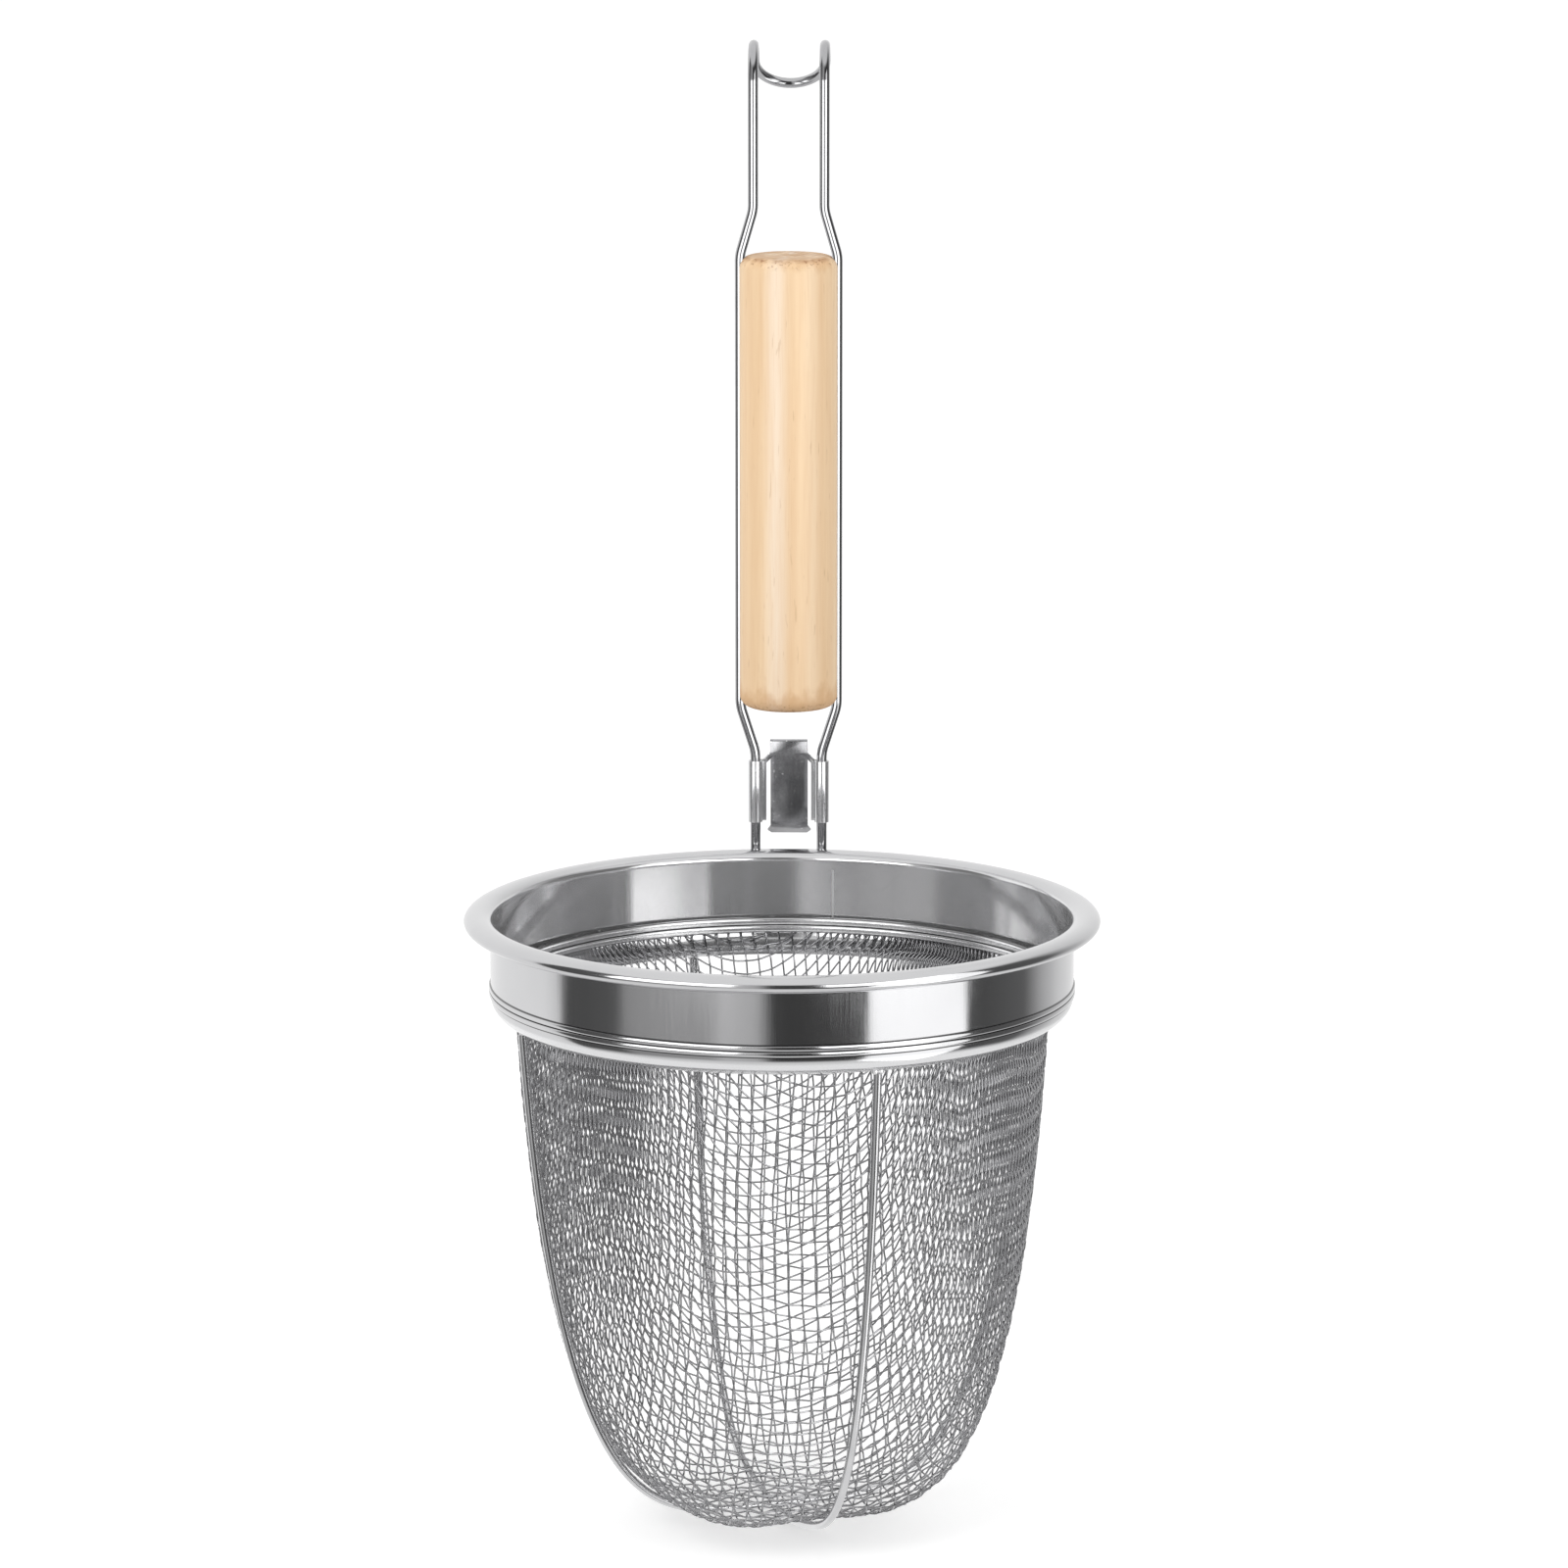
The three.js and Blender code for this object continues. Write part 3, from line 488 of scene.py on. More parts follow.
def next_knot(left, right, run, turn):
    """The knot one pitch from each of two neighbours, found by Newton steps from a first guess"""
    probe = 0.001 * mm
    turn_probe = probe / cup_top_radius
    reach = cloth_pitch / 2
    near_enough = probe * probe / mm
    for _ in range(drape_tries):
        point = knot_point(run, turn)
        left_miss, right_miss = (point - left).length - cloth_pitch, (point - right).length - cloth_pitch
        if abs(left_miss) + abs(right_miss) < near_enough:
            break
        by_run, by_turn = knot_point(run + probe, turn), knot_point(run, turn + turn_probe)
        left_run = ((by_run - left).length - cloth_pitch - left_miss) / probe
        right_run = ((by_run - right).length - cloth_pitch - right_miss) / probe
        left_turn = ((by_turn - left).length - cloth_pitch - left_miss) / turn_probe
        right_turn = ((by_turn - right).length - cloth_pitch - right_miss) / turn_probe
        scale = left_run * right_turn - left_turn * right_run
        if scale == 0:
            break
        run_step = (left_turn * right_miss - left_miss * right_turn) / scale
        turn_step = (left_miss * right_run - left_run * right_miss) / scale
        run += min(max(run_step, -reach), reach)
        turn += min(max(turn_step, -reach / cup_top_radius), reach / cup_top_radius)
    return run, turn


def drape_quarter():
    """Knots of one quarter of the cloth, as run and turn, between its two straight wires"""
    last = math.ceil(edge_run / cloth_pitch) + 1
    quarter = {(0, 0): (0.0, 0.0)}
    for i in range(1, last + 1):
        before = quarter[i - 1, 0][0]
        run = before + cloth_pitch
        for _ in range(drape_tries):
            run += cloth_pitch - (knot_point(run, 0) - knot_point(before, 0)).length
        quarter[i, 0] = (run, 0.0)
        quarter[0, i] = (run, math.pi / 2)
    for i in range(1, last + 1):
        for j in range(1, last + 1):
            if (i - 1, j) not in quarter or (i, j - 1) not in quarter:
                continue
            left, right, behind = quarter[i - 1, j], quarter[i, j - 1], quarter[i - 1, j - 1]
            left_point, right_point = knot_point(*left), knot_point(*right)
            aim = left_point + right_point - knot_point(*behind)
            run = left[0] + right[0] - behind[0] if behind[0] > 0 else cloth_pitch * math.sqrt(2)
            knot = next_knot(left_point, right_point, run, math.atan2(aim.y, aim.x))
            if knot[0] < edge_run + cloth_pitch:
                quarter[i, j] = knot
    return quarter


def uneven(at, finer):
    """A smooth random step for a point, with half as much again at a finer scale"""
    return noise.noise_vector(at) + 0.5 * noise.noise_vector(at * finer)


def cloth_point(run, turn, level):
    """A point of a cloth wire: the cloth swells between the cradle wires and wavers a little"""
    at, outward = cup_at(run), cup_outward(run)
    turn += cloth_turn
    swell = math.sin(2 * (turn + math.pi / 2 - cradle_turn)) ** 2
    from_top = max(cup_run - run, 0)
    fade = min(run / (lobe_rise * cup_run), 1) * min(from_top / (lobe_fall * cup_run), 1)
    lift = level * cloth_wire * crimp + lobe_height * swell * fade
    at = at + outward * lift
    point = Vector((at.x * math.cos(turn), at.x * math.sin(turn), at.y))
    shake = uneven(point / waver_span, waver_finer)
    return rim + point + shake * waver * min(from_top / calm_reach, 1)


def cloth_paths(quarter, straight):
    """Lines of all wires that run one way, crimped over and under the wires that cross them"""
    last = max(i for i, j in quarter)
    paths = []
    for i in range(-last, last + 1):
        row = []
        for j in range(-last, last + 1):
            key = (i, j) if straight else (j, i)
            knot = quarter.get((abs(key[0]), abs(key[1])))
            if knot is None:
                continue
            run, turn = knot
            run += cloth_slip * math.sin(2 * turn) ** 2 * min(run / cup_run, 1) ** slip_power
            side = Vector((math.copysign(math.cos(turn), key[0]), math.copysign(math.sin(turn), key[1])))
            over = 1 if (i + j) % 2 == (0 if straight else 1) else -1
            facing = math.atan2(side.y, side.x)
            wander = uneven(knot_point(run, facing) / drift_span, drift_finer)
            wander *= drift * min(run / drift_span, 1)
            facing += wander.y / max(cup_at(run).x, drift_span)
            row.append((run + wander.x, facing, over))
        path = []
        for (run, turn, over), (next_run, next_turn, _) in zip(row, row[1:]):
            bend = (next_turn - turn + math.pi) % (2 * math.pi) - math.pi
            if min(run, next_run) == 0:
                turn, bend = (next_turn, 0) if run == 0 else (turn, 0)
            for share, level in ((0.25, over), (0.75, -over)):
                here = run + (next_run - run) * share
                if here <= edge_run:
                    path.append(cloth_point(here, turn + bend * share, level))
        if len(path) > 1:
            paths.append(path)
    return paths


def wire_steel(name, pale, dark, mirror):
    """Bright drawn wire with faint stains and fine drawing marks"""
    material, shader, place = new_finish(name, rim, 1, mirror)
    stains = place.noise(place, scale=160, detail=3)
    marks = place.noise(place, scale=2400, detail=2)
    place.blend(stains, pale, dark).into(shader["Base Color"])
    (mirror + 0.14 * marks * stains).into(shader["Roughness"])
    place.bump(marks, strength=0.1, distance=0.02 * mm).into(shader["Normal"])
    return material


cloth_steel = wire_steel("cloth_steel", *cloth_colors, cloth_mirror)
noise.seed_set(weave_seed)
cloth_knots = drape_quarter()
for name, straight in (("cloth_warp", True), ("cloth_weft", False)):
    threads = drawn_wire(name, cloth_paths(cloth_knots, straight), cloth_wire, cloth_sides, cloth_steel)
    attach(threads, "root")
    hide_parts("mesh_cup")


# Cradle wires
# Two stainless wires bent to the cup, spot welded under the lip of the band. They cross at the
# bottom, where the lower one dips under the upper one, and keep the cloth from sagging.
cradle_wire = 2 * mm
cradle_gap = 0.75 * mm
cradle_crossing = 26 * mm
cradle_clearance = 0.3 * mm
cradle_steps = 110
cradle_sides = 16
cradle_colors = (0.76, 0.76, 0.77), (0.6, 0.6, 0.61)
cradle_mirror = 0.16


def cradle_path(turn, dip):
    """Line of one cradle wire from lip to lip"""
    offset = cradle_gap + cradle_wire / 2
    points = []
    for k in range(-cradle_steps, cradle_steps + 1):
        run = cup_run * abs(k) / cradle_steps
        near = min(run / cradle_crossing, 1)
        drop = dip * (1 - near * near * (3 - 2 * near))
        at = cup_at(run) + (cup_outward(run) if k else Vector((0, -1))) * offset
        way = Vector((math.cos(turn), math.sin(turn))) * (at.x if k > 0 else -at.x)
        points.append(rim + Vector((way.x, way.y, at.y - drop)))
    return points


cradle_steel = wire_steel("cradle_steel", *cradle_colors, cradle_mirror)
for name, turn, dip in (
    ("cradle_wire_upper", cradle_turn, 0),
    ("cradle_wire_lower", cradle_turn - math.pi / 2, cradle_wire + cradle_clearance),
):
    line = cradle_path(turn, dip)
    wire = drawn_wire(name + "_drawn", [line], cradle_wire, cradle_sides, cradle_steel)
    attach(wire, "root")
    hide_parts(name)


# Handle wire
# One long stainless wire bent into a hairpin: feet welded to the back of the band, a jog out past
# the bead, a neck below and above the grip, and the closed end bent back and down as a hook.
handle_low, handle_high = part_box("handle_wire")
grip_low, grip_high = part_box("grip")
handle_wire = 2.5 * mm
lower_neck_x = 8.15 * mm
upper_neck_x = 8.65 * mm
lower_neck = 11.5 * mm
upper_neck = 11 * mm
neck_bend = 10 * mm
foot_length = 6.5 * mm
jog_bend = 3 * mm
jog_top = -3.5 * mm
hook_bend = 8 * mm
hook_angle = math.radians(134)
hook_straight = 3.2 * mm
weld_gap = 0.3 * mm
bend_step = 6
fewest_steps = 4
closest_points = 0.01 * mm
handle_sides = 24
handle_colors = (0.52, 0.52, 0.53), (0.42, 0.42, 0.43)
handle_mirror = 0.07

handle_y = (grip_low.y + grip_high.y) / 2 - rim.y
foot_y = math.sqrt((band_outer + weld_gap + handle_wire / 2) ** 2 - lower_neck_x**2)
foot_bottom = handle_low.z - rim.z
grip_bottom, grip_top = grip_low.z - rim.z, grip_high.z - rim.z
hook_start = handle_high.z - rim.z - handle_wire / 2 - hook_bend


def bent(plan):
    """Line of a wire through the corners of a plan, each rounded to its bend radius"""
    points = [plan[0][0]]
    for (before, _), (at, bend), (after, _) in zip(plan, plan[1:], plan[2:]):
        into, onward = (at - before).normalized(), (after - at).normalized()
        turn = into.angle(onward)
        axis = into.cross(onward).normalized()
        inward = axis.cross(into)
        centre = at - into * bend * math.tan(turn / 2) + inward * bend
        steps = max(fewest_steps, math.ceil(math.degrees(turn) / bend_step))
        for n in range(steps + 1):
            point = centre + Matrix.Rotation(turn * n / steps, 3, axis) @ (-inward * bend)
            if (point - points[-1]).length > closest_points:
                points.append(point)
    return points + [plan[-1][0]]


def handle_plan():
    """Corners of the whole hairpin with their bend radii, from one foot to the other"""
    grip_x = (grip_high.x - grip_low.x) / 2
    setback = hook_bend * math.tan(hook_angle / 2)
    hook_run = setback + hook_straight + upper_neck_x
    tip_y = handle_y + hook_run * math.sin(hook_angle)
    tip_z = hook_start + setback + hook_run * math.cos(hook_angle)
    side = [
        (lower_neck_x, foot_y, foot_bottom, 0),
        (lower_neck_x, foot_y, foot_bottom + foot_length, jog_bend),
        (lower_neck_x, handle_y, jog_top, jog_bend),
        (lower_neck_x, handle_y, grip_bottom - lower_neck, neck_bend),
        (grip_x, handle_y, grip_bottom, neck_bend),
        (grip_x, handle_y, grip_top, neck_bend),
        (upper_neck_x, handle_y, grip_top + upper_neck, neck_bend),
        (upper_neck_x, handle_y, hook_start + setback, hook_bend),
        (upper_neck_x, tip_y, tip_z, upper_neck_x),
    ]
    right = [(Vector((x, y, z)), bend) for x, y, z, bend in side]
    left = [(Vector((-x, y, z)), bend) for x, y, z, bend in reversed(side)]
    return right + left


handle_path = bent(handle_plan())
handle_steel = wire_steel("handle_steel", *handle_colors, handle_mirror)
handle_line = [rim + point for point in handle_path]
handle = drawn_wire("hairpin_handle", [handle_line], handle_wire, handle_sides, handle_steel)
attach(handle, "root")
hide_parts("handle_wire")


# Weld spots
# The feet of the handle and the ends of the cradle wires are spot welded to the band. Each weld
# leaves small uneven beads of metal in the corner between the wire and the sheet.
spot_radius = 0.75 * mm
spot_spread = 1.1 * mm
spot_heights = (1.2 * mm, 3.4 * mm, 5.4 * mm)
spot_sunk = 0.4 * handle_wire
cradle_spread = 0.6 * spot_spread


def spot_group():
    """Node group that sets an uneven bead on every point of a mesh"""
    tree, sockets = new_group("weld_spots", {"Points": "Geometry", "Radius": "Float", "Finish": "Material"})
    points = Flow(tree).add("NodeGroupInput", {}, {}, "Points")
    ball = {"Radius": points.out("Radius"), "Subdivisions": 3}
    bead = points.add("GeometryNodeMeshIcoSphere", {}, ball, 0)
    span = {"Min": (0.8, 0.8, 0.8), "Max": (1.25, 1.25, 1.25), "Seed": 5}
    sizes = points.add("FunctionNodeRandomValue", {"data_type": "FLOAT_VECTOR"}, span, 0)
    scatter = {"Points": points, "Instance": bead, "Scale": sizes}
    beads = points.add("GeometryNodeInstanceOnPoints", {}, scatter, 0)
    beads = points.add("GeometryNodeRealizeInstances", {}, {"Geometry": beads}, 0)
    beads = points.add("GeometryNodeSetShadeSmooth", {}, {"Geometry": beads}, 0)
    finish = {"Geometry": beads, "Material": points.out("Finish")}
    beads = points.add("GeometryNodeSetMaterial", {}, finish, 0)
    beads.into(tree.nodes.new("NodeGroupOutput").inputs["Made"])
    return tree, sockets


foot_spots, cradle_spots = [], []
for side in (-1, 1):
    foot = Vector((side * lower_neck_x, foot_y, foot_bottom))
    inward = Vector((-foot.x, -foot.y, 0)).normalized()
    along = Vector((-inward.y, inward.x, 0))
    for height in spot_heights:
        for way in (-1, 1):
            spot = foot + inward * spot_sunk + along * way * spot_spread + Vector((0, 0, height))
            foot_spots.append(rim + spot)
    for turn in (cradle_turn, cradle_turn - math.pi / 2):
        outward = Vector((side * math.cos(turn), side * math.sin(turn), 0))
        across = Vector((-outward.y, outward.x, 0))
        end = outward * (cup_top_radius + cradle_gap + cradle_wire / 2) + Vector((0, 0, shoulder_bottom))
        cradle_spots += [rim + end + across * way * cradle_spread for way in (-1, 1)]
weld_group = spot_group()
for name, spots, slot in (
    ("foot_welds", foot_spots, "handle_steel"),
    ("cradle_welds", cradle_spots, "cradle_steel"),
):
    welds = grown(name, spots, [], weld_group, {"Radius": spot_radius, "Finish": weld_steel})
    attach(welds, "root")


# Grip
# A turned cylinder of pale wood with rounded ends and a groove down each side, in which the
# handle wire lies. The ends show darker end grain, and the surface has a thin clear lacquer.
grip_edge = 3 * mm
groove_gap = 0.12 * mm
grip_columns = 216
grip_rows = 60
end_rings = 6
edge_steps = 10
grip_sharp = 40
wood_gloss = 0.25
lacquer = 0.2
lacquer_dullness = 0.3
brown_wood, honey_wood = (0.86, 0.6, 0.36), (0.93, 0.69, 0.44)
# Colour of the pale grain bands and of the painted highlights on the front
streak_and_highlight_color = (0.95, 0.83, 0.69)
grain_color = (0.8, 0.53, 0.29)
grain_share = 0.3
fibre_color = (0.76, 0.48, 0.25)
fibre_share = 0.25
pore_color = (0.55, 0.32, 0.15)
pore_share = 0.3
burnt_color = (0.62, 0.34, 0.15)
burnt_share = 0.52
scorch_color = (0.34, 0.14, 0.06)
ring_color = (0.52, 0.3, 0.14)
# Angle, width and strength of each pale band: at -14 and 30 degrees, facing the front, they are painted
# highlights; the others are pale grain
pale_streaks_and_highlights = ((-14, 20, 0.6), (30, 16, 0.15), (95, 24, 0.5), (170, 26, 0.7), (-110, 22, 0.5))
burnt_depth = 5 * mm
burnt_wander = 14 * mm
burnt_shift = 2.2 * mm
pith = Vector((-31 * mm, 17 * mm))
ring_pitch = 1.7 * mm

grip_radius = (grip_high.y - grip_low.y) / 2
grip_half = (grip_top - grip_bottom) / 2
groove_radius = handle_wire / 2 + groove_gap


def wire_x(height):
    """Distance of the handle wire from the grip's axis at a height"""
    for before, after in zip(handle_path, handle_path[1:]):
        if before.z <= height <= after.z and after.z > before.z:
            return before.lerp(after, (height - before.z) / (after.z - before.z)).x
    return grip_radius


def grip_surface(radius, height, turn):
    """A point of the turned surface, sunk where the groove for the wire runs"""
    way = Vector((math.cos(turn), math.sin(turn)))
    wire = Vector((math.copysign(wire_x(height), way.x), 0))
    across = way.dot(wire)
    sunk = groove_radius**2 - wire.length_squared + across**2
    if sunk > 0:
        radius = min(radius, across - math.sqrt(sunk))
    return rim + Vector((way.x * radius, handle_y + way.y * radius, height))


lower_edge = Vector((grip_radius - grip_edge, grip_bottom + grip_edge))
upper_edge = Vector((grip_radius - grip_edge, grip_top - grip_edge))
edge_radii = Vector((grip_edge, grip_edge))
grip_profile = [Vector((lower_edge.x * k / end_rings, grip_bottom)) for k in range(1, end_rings)]
grip_profile += oval_arc(lower_edge, edge_radii, -90, 0, edge_steps)
for k in range(1, grip_rows):
    grip_profile.append(lower_edge.lerp(upper_edge, k / grip_rows) + Vector((grip_edge, 0)))
grip_profile += oval_arc(upper_edge, edge_radii, 0, 90, edge_steps)
grip_profile += [Vector((upper_edge.x * k / end_rings, grip_top)) for k in range(end_rings - 1, 0, -1)]
grip_turns = [2 * math.pi * k / grip_columns for k in range(grip_columns)]
grip_points = [grip_surface(p.x, p.y, turn) for p in grip_profile for turn in grip_turns]
grip_faces = []
for row in range(len(grip_profile) - 1):
    for k in range(grip_columns):
        after = (k + 1) % grip_columns
        low, high = row * grip_columns, (row + 1) * grip_columns
        grip_faces.append((low + k, low + after, high + after, high + k))
last_row = (len(grip_profile) - 1) * grip_columns
grip_middle = rim + Vector((0, handle_y, 0))
grip_points += [grip_middle + Vector((0, 0, grip_bottom)), grip_middle + Vector((0, 0, grip_top))]
bottom_pole, top_pole = len(grip_points) - 2, len(grip_points) - 1
for k in range(grip_columns):
    after = (k + 1) % grip_columns
    grip_faces.append((after, k, bottom_pole))
    grip_faces.append((last_row + k, last_row + after, top_pole))
grip_mesh = bpy.data.meshes.new("wooden_grip")
grip_mesh.from_pydata(grip_points, [], grip_faces)


def pale_wood():
    """Straight-grained wood with pale bands along the grain, the two that face the front being painted
    highlights, fine fibres, a few short pores, browner ends and lacquer.
    The flat ends show year rings and are scorched round their edge"""
    centre = grip_middle + Vector((0, 0, (grip_bottom + grip_top) / 2))
    material, shader, place = new_finish("pale_wood", centre, 0, 0.4)
    shader["Specular IOR Level"].default_value = wood_gloss
    shader["Coat Roughness"].default_value = lacquer_dullness
    x = place.add("ShaderNodeSeparateXYZ", {}, {"Vector": place}, "X")
    y, z = x.out("Y"), x.out("Z")
    bands = x.noise(x.vector(x, y, z * 0.03), scale=210, detail=2)
    grain = x.noise(x.vector(x, y, z * 0.05), scale=800, detail=3)
    fibres = x.noise(x.vector(x, y, z * 0.03), scale=2600, detail=3)
    pores = x.ease(x.noise(x.vector(x, y, z * 0.12), scale=1300, detail=2), 0.66, 0.74)
    wander = x.noise(x.vector(x, y, z * 0.15), scale=160, detail=2) - 0.5
    turn = x.math("ARCTAN2", x, 0 - y) + wander * 0.1
    # Pale grain bands and, on the front, painted highlights
    streaks_and_highlights = 0
    for angle, width, strength in pale_streaks_and_highlights:
        off = x.math("ABSOLUTE", turn - math.radians(angle))
        streaks_and_highlights = streaks_and_highlights + strength * (1 - x.ease(off, 0, math.radians(width)))
    ragged = x.noise(x.vector(x, y, z * 0.6), scale=260, detail=4) - 0.5
    off_middle = x.math("ABSOLUTE", z - burnt_shift) + ragged * burnt_wander
    burnt = x.ease(off_middle, grip_half - burnt_depth, grip_half)
    color = x.blend(x.ease(bands, 0.3, 0.7), brown_wood, honey_wood)
    color = x.blend(streaks_and_highlights, color, streak_and_highlight_color)
    color = x.blend(x.ease(grain, 0.4, 0.75) * grain_share, color, grain_color)
    color = x.blend(x.ease(fibres, 0.45, 0.8) * fibre_share, color, fibre_color)
    color = x.blend(pores * pore_share, color, pore_color)
    color = x.blend(burnt * burnt_share, color, burnt_color)
    height = x.math("ABSOLUTE", z)
    edge = x.ease(height, grip_half - 1.1 * mm, grip_half - 0.2 * mm)
    sawn = x.ease(height, grip_half - 0.3 * mm, grip_half - 0.05 * mm)
    from_pith = x.math("SQRT", (x - pith.x) * (x - pith.x) + (y - pith.y) * (y - pith.y))
    rings = x.math("SINE", from_pith * (2 * math.pi / ring_pitch) + ragged * 5) * 0.5 + 0.5
    near_end = x.ease(height, grip_half - 3 * mm, grip_half - mm)
    specks = near_end * x.ease(x.noise(place, scale=1500, detail=2), 0.58, 0.66)
    scorched = edge * x.ease(ragged, -0.12, 0.12) + specks
    color = x.blend(scorched * (0.5 - 0.4 * sawn), color, scorch_color)
    x.blend(sawn * (0.1 + 0.4 * rings), color, ring_color).into(shader["Base Color"])
    (lacquer - lacquer * burnt).into(shader["Coat Weight"])
    (0.36 + 0.16 * fibres + 0.12 * burnt).into(shader["Roughness"])
    x.bump(fibres - pores * 0.6, strength=0.25, distance=0.06 * mm).into(shader["Normal"])
    return material


grip = new_piece("wooden_grip", clean(grip_mesh, grip_sharp), pale_wood())
grip.visible_glossy = False
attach(grip, "root")
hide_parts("grip")


# Pot clip
# Thin stainless sheet with a sleeve rolled round each handle wire. A tongue is cut free between
# two margins, folded over at the top and hung behind the wires, where it ends in a flared lip.
clip_sheet = 0.45 * mm
sleeve_bottom = 6 * mm
sleeve_length = 15.3 * mm
sleeve_wrap = 280
sleeve_gap = 0.08 * mm
sleeve_steps = 40
cut_half = 5.5 * mm
strap_height = 0.9 * mm
strap_slope = 1.8 * mm
strap_gap = 0.3 * mm
tab_overlap = 0.2 * mm
tab_rise = 4.9 * mm
slot_gap = 4.6 * mm
tongue_half = 4.6 * mm
fold_bend = 0.45 * mm
fold_slope = 35
crest_steps = 10
fold_steps = 6
tongue_length = 22.1 * mm
lip_half = 5.4 * mm
lip_chamfer = 1 * mm
lip_length = 3 * mm
lip_flare = math.radians(35)
lip_bend = 0.6 * mm
sheet_sharp = 30
sheet_bevel = 0.07 * mm
bevel_rows = 2
bevel_from = math.radians(40)
bevel_sharp = math.radians(50)
dull_colors = (0.33, 0.33, 0.34), (0.42, 0.42, 0.43)
speck_color = (0.8, 0.8, 0.8)
burnished_color = (0.7, 0.7, 0.71)
burnished_reach = 0.4 * mm

sleeve_inner = handle_wire / 2 + sleeve_gap
sleeve_top = sleeve_bottom + sleeve_length
cut_top = sleeve_top - strap_height
tab_foot = cut_top + strap_slope
crest = sleeve_top + tab_rise
strap_y = handle_y + handle_wire / 2 + strap_gap + clip_sheet / 2


def slab(name, outline, along):
    """A flat outline of points pushed along a vector into a closed slab"""
    count = len(outline)
    points = [rim + point for point in outline] + [rim + point + along for point in outline]
    faces = [tuple(range(count)), tuple(range(2 * count - 1, count - 1, -1))]
    faces += [(k, (k + 1) % count, count + (k + 1) % count, count + k) for k in range(count)]
    mesh = bpy.data.meshes.new(name)
    mesh.from_pydata(points, [], faces)
    return clean(mesh)


def rolled_sleeve(side):
    """Sheet rolled round one wire, open at the inner side of its back"""
    start, end = 90, 90 - sleeve_wrap
    outer = sleeve_inner + clip_sheet
    arc = oval_arc(Vector((0, 0)), Vector((outer, outer)), start, end, sleeve_steps)
    arc += oval_arc(Vector((0, 0)), Vector((sleeve_inner, sleeve_inner)), end, start, sleeve_steps)
    outline = [Vector((side * (lower_neck_x + p.x), handle_y + p.y, sleeve_bottom)) for p in arc]
    return slab("sleeve", outline, Vector((0, 0, sleeve_length)))


def strap_plate():
    """Strap between the sleeves: margins beside the cut, joined over it by the foot of the tab"""
    inner = [(-lower_neck_x, sleeve_bottom), (-cut_half, sleeve_bottom), (-cut_half, cut_top)]
    inner += [(-cut_half + strap_slope, tab_foot), (cut_half - strap_slope, tab_foot)]
    inner += [(cut_half, cut_top), (cut_half, sleeve_bottom), (lower_neck_x, sleeve_bottom)]
    outer = [(lower_neck_x, sleeve_top), (tongue_half + strap_slope, sleeve_top)]
    outer += [(tongue_half, sleeve_top + strap_slope), (-tongue_half, sleeve_top + strap_slope)]
    outer += [(-tongue_half - strap_slope, sleeve_top), (-lower_neck_x, sleeve_top)]
    outline = [Vector((x, strap_y - clip_sheet / 2, z)) for x, z in inner + outer]
    return slab("strap", outline, Vector((0, clip_sheet, 0)))


def folded_tongue():
    """Tab, fold and tongue as one bent strip with its own width at each point of its line"""
    tongue_y = strap_y + slot_gap + clip_sheet
    fold_z = crest - clip_sheet / 2 - fold_bend
    bend = Vector((fold_bend, fold_bend))
    fold_drop = (tongue_y - strap_y - 2 * fold_bend) * math.tan(math.radians(fold_slope))
    crest_centre = Vector((strap_y + fold_bend, fold_z))
    fold_centre = Vector((tongue_y - fold_bend, fold_z - fold_drop))
    line = [Vector((strap_y, tab_foot + tab_overlap))]
    line += oval_arc(crest_centre, bend, 180, 90 - fold_slope, crest_steps)
    line += oval_arc(fold_centre, bend, 90 - fold_slope, 0, fold_steps)
    lip_top = Vector((tongue_y, crest - tongue_length))
    lip_way = Vector((math.sin(lip_flare), -math.cos(lip_flare)))
    line += [lip_top + Vector((0, lip_bend)), lip_top + lip_way * lip_bend]
    widths = [tongue_half] * len(line)
    line += [lip_top + lip_way * (lip_length - lip_chamfer), lip_top + lip_way * lip_length]
    widths += [lip_half, lip_half - lip_chamfer]
    points, faces = [], []
    for k, at in enumerate(line):
        along = (line[min(k + 1, len(line) - 1)] - line[max(k - 1, 0)]).normalized()
        half = Vector((-along.y, along.x)) * clip_sheet / 2
        for x in (-widths[k], widths[k]):
            for level in (1, -1):
                points.append(rim + Vector((x, at.x + level * half.x, at.y + level * half.y)))
    for k in range(len(line) - 1):
        here, there = 4 * k, 4 * k + 4
        faces += [(here, here + 2, there + 2, there), (here + 3, here + 1, there + 1, there + 3)]
        faces += [(here + 1, here, there, there + 1), (here + 2, here + 3, there + 3, there + 2)]
    end = 4 * (len(line) - 1)
    faces += [(0, 1, 3, 2), (end, end + 2, end + 3, end + 1)]
    mesh = bpy.data.meshes.new("tongue")
    mesh.from_pydata(points, [], faces)
    return clean(mesh)


def satin_sheet():
    """Dull sheet with fine lines, patches and bright specks, burnished where it was rolled and cut"""
    material, shader, place = new_finish("satin_sheet", rim, 1, 0.3)
    x = place.add("ShaderNodeSeparateXYZ", {}, {"Vector": place}, "X")
    lines = x.noise(x.vector(x, x.out("Y"), x.out("Z") * 0.04), scale=2600, detail=3)
    patches = x.noise(place, scale=190, detail=3)
    specks = x.ease(x.noise(place, scale=1300, detail=1), 0.7, 0.78)
    burnished = x.ease(x.math("ABSOLUTE", x), cut_half - burnished_reach, cut_half)
    color = x.blend(x.ease(patches, 0.35, 0.65), *dull_colors)
    color = x.blend(specks, color, speck_color)
    x.blend(burnished, color, burnished_color).into(shader["Base Color"])
    (1 - 0.2 * burnished).into(shader["Metallic"])
    (0.16 + 0.12 * lines - 0.04 * burnished).into(shader["Roughness"])
    x.bump(lines, strength=0.15, distance=0.03 * mm).into(shader["Normal"])
    return material


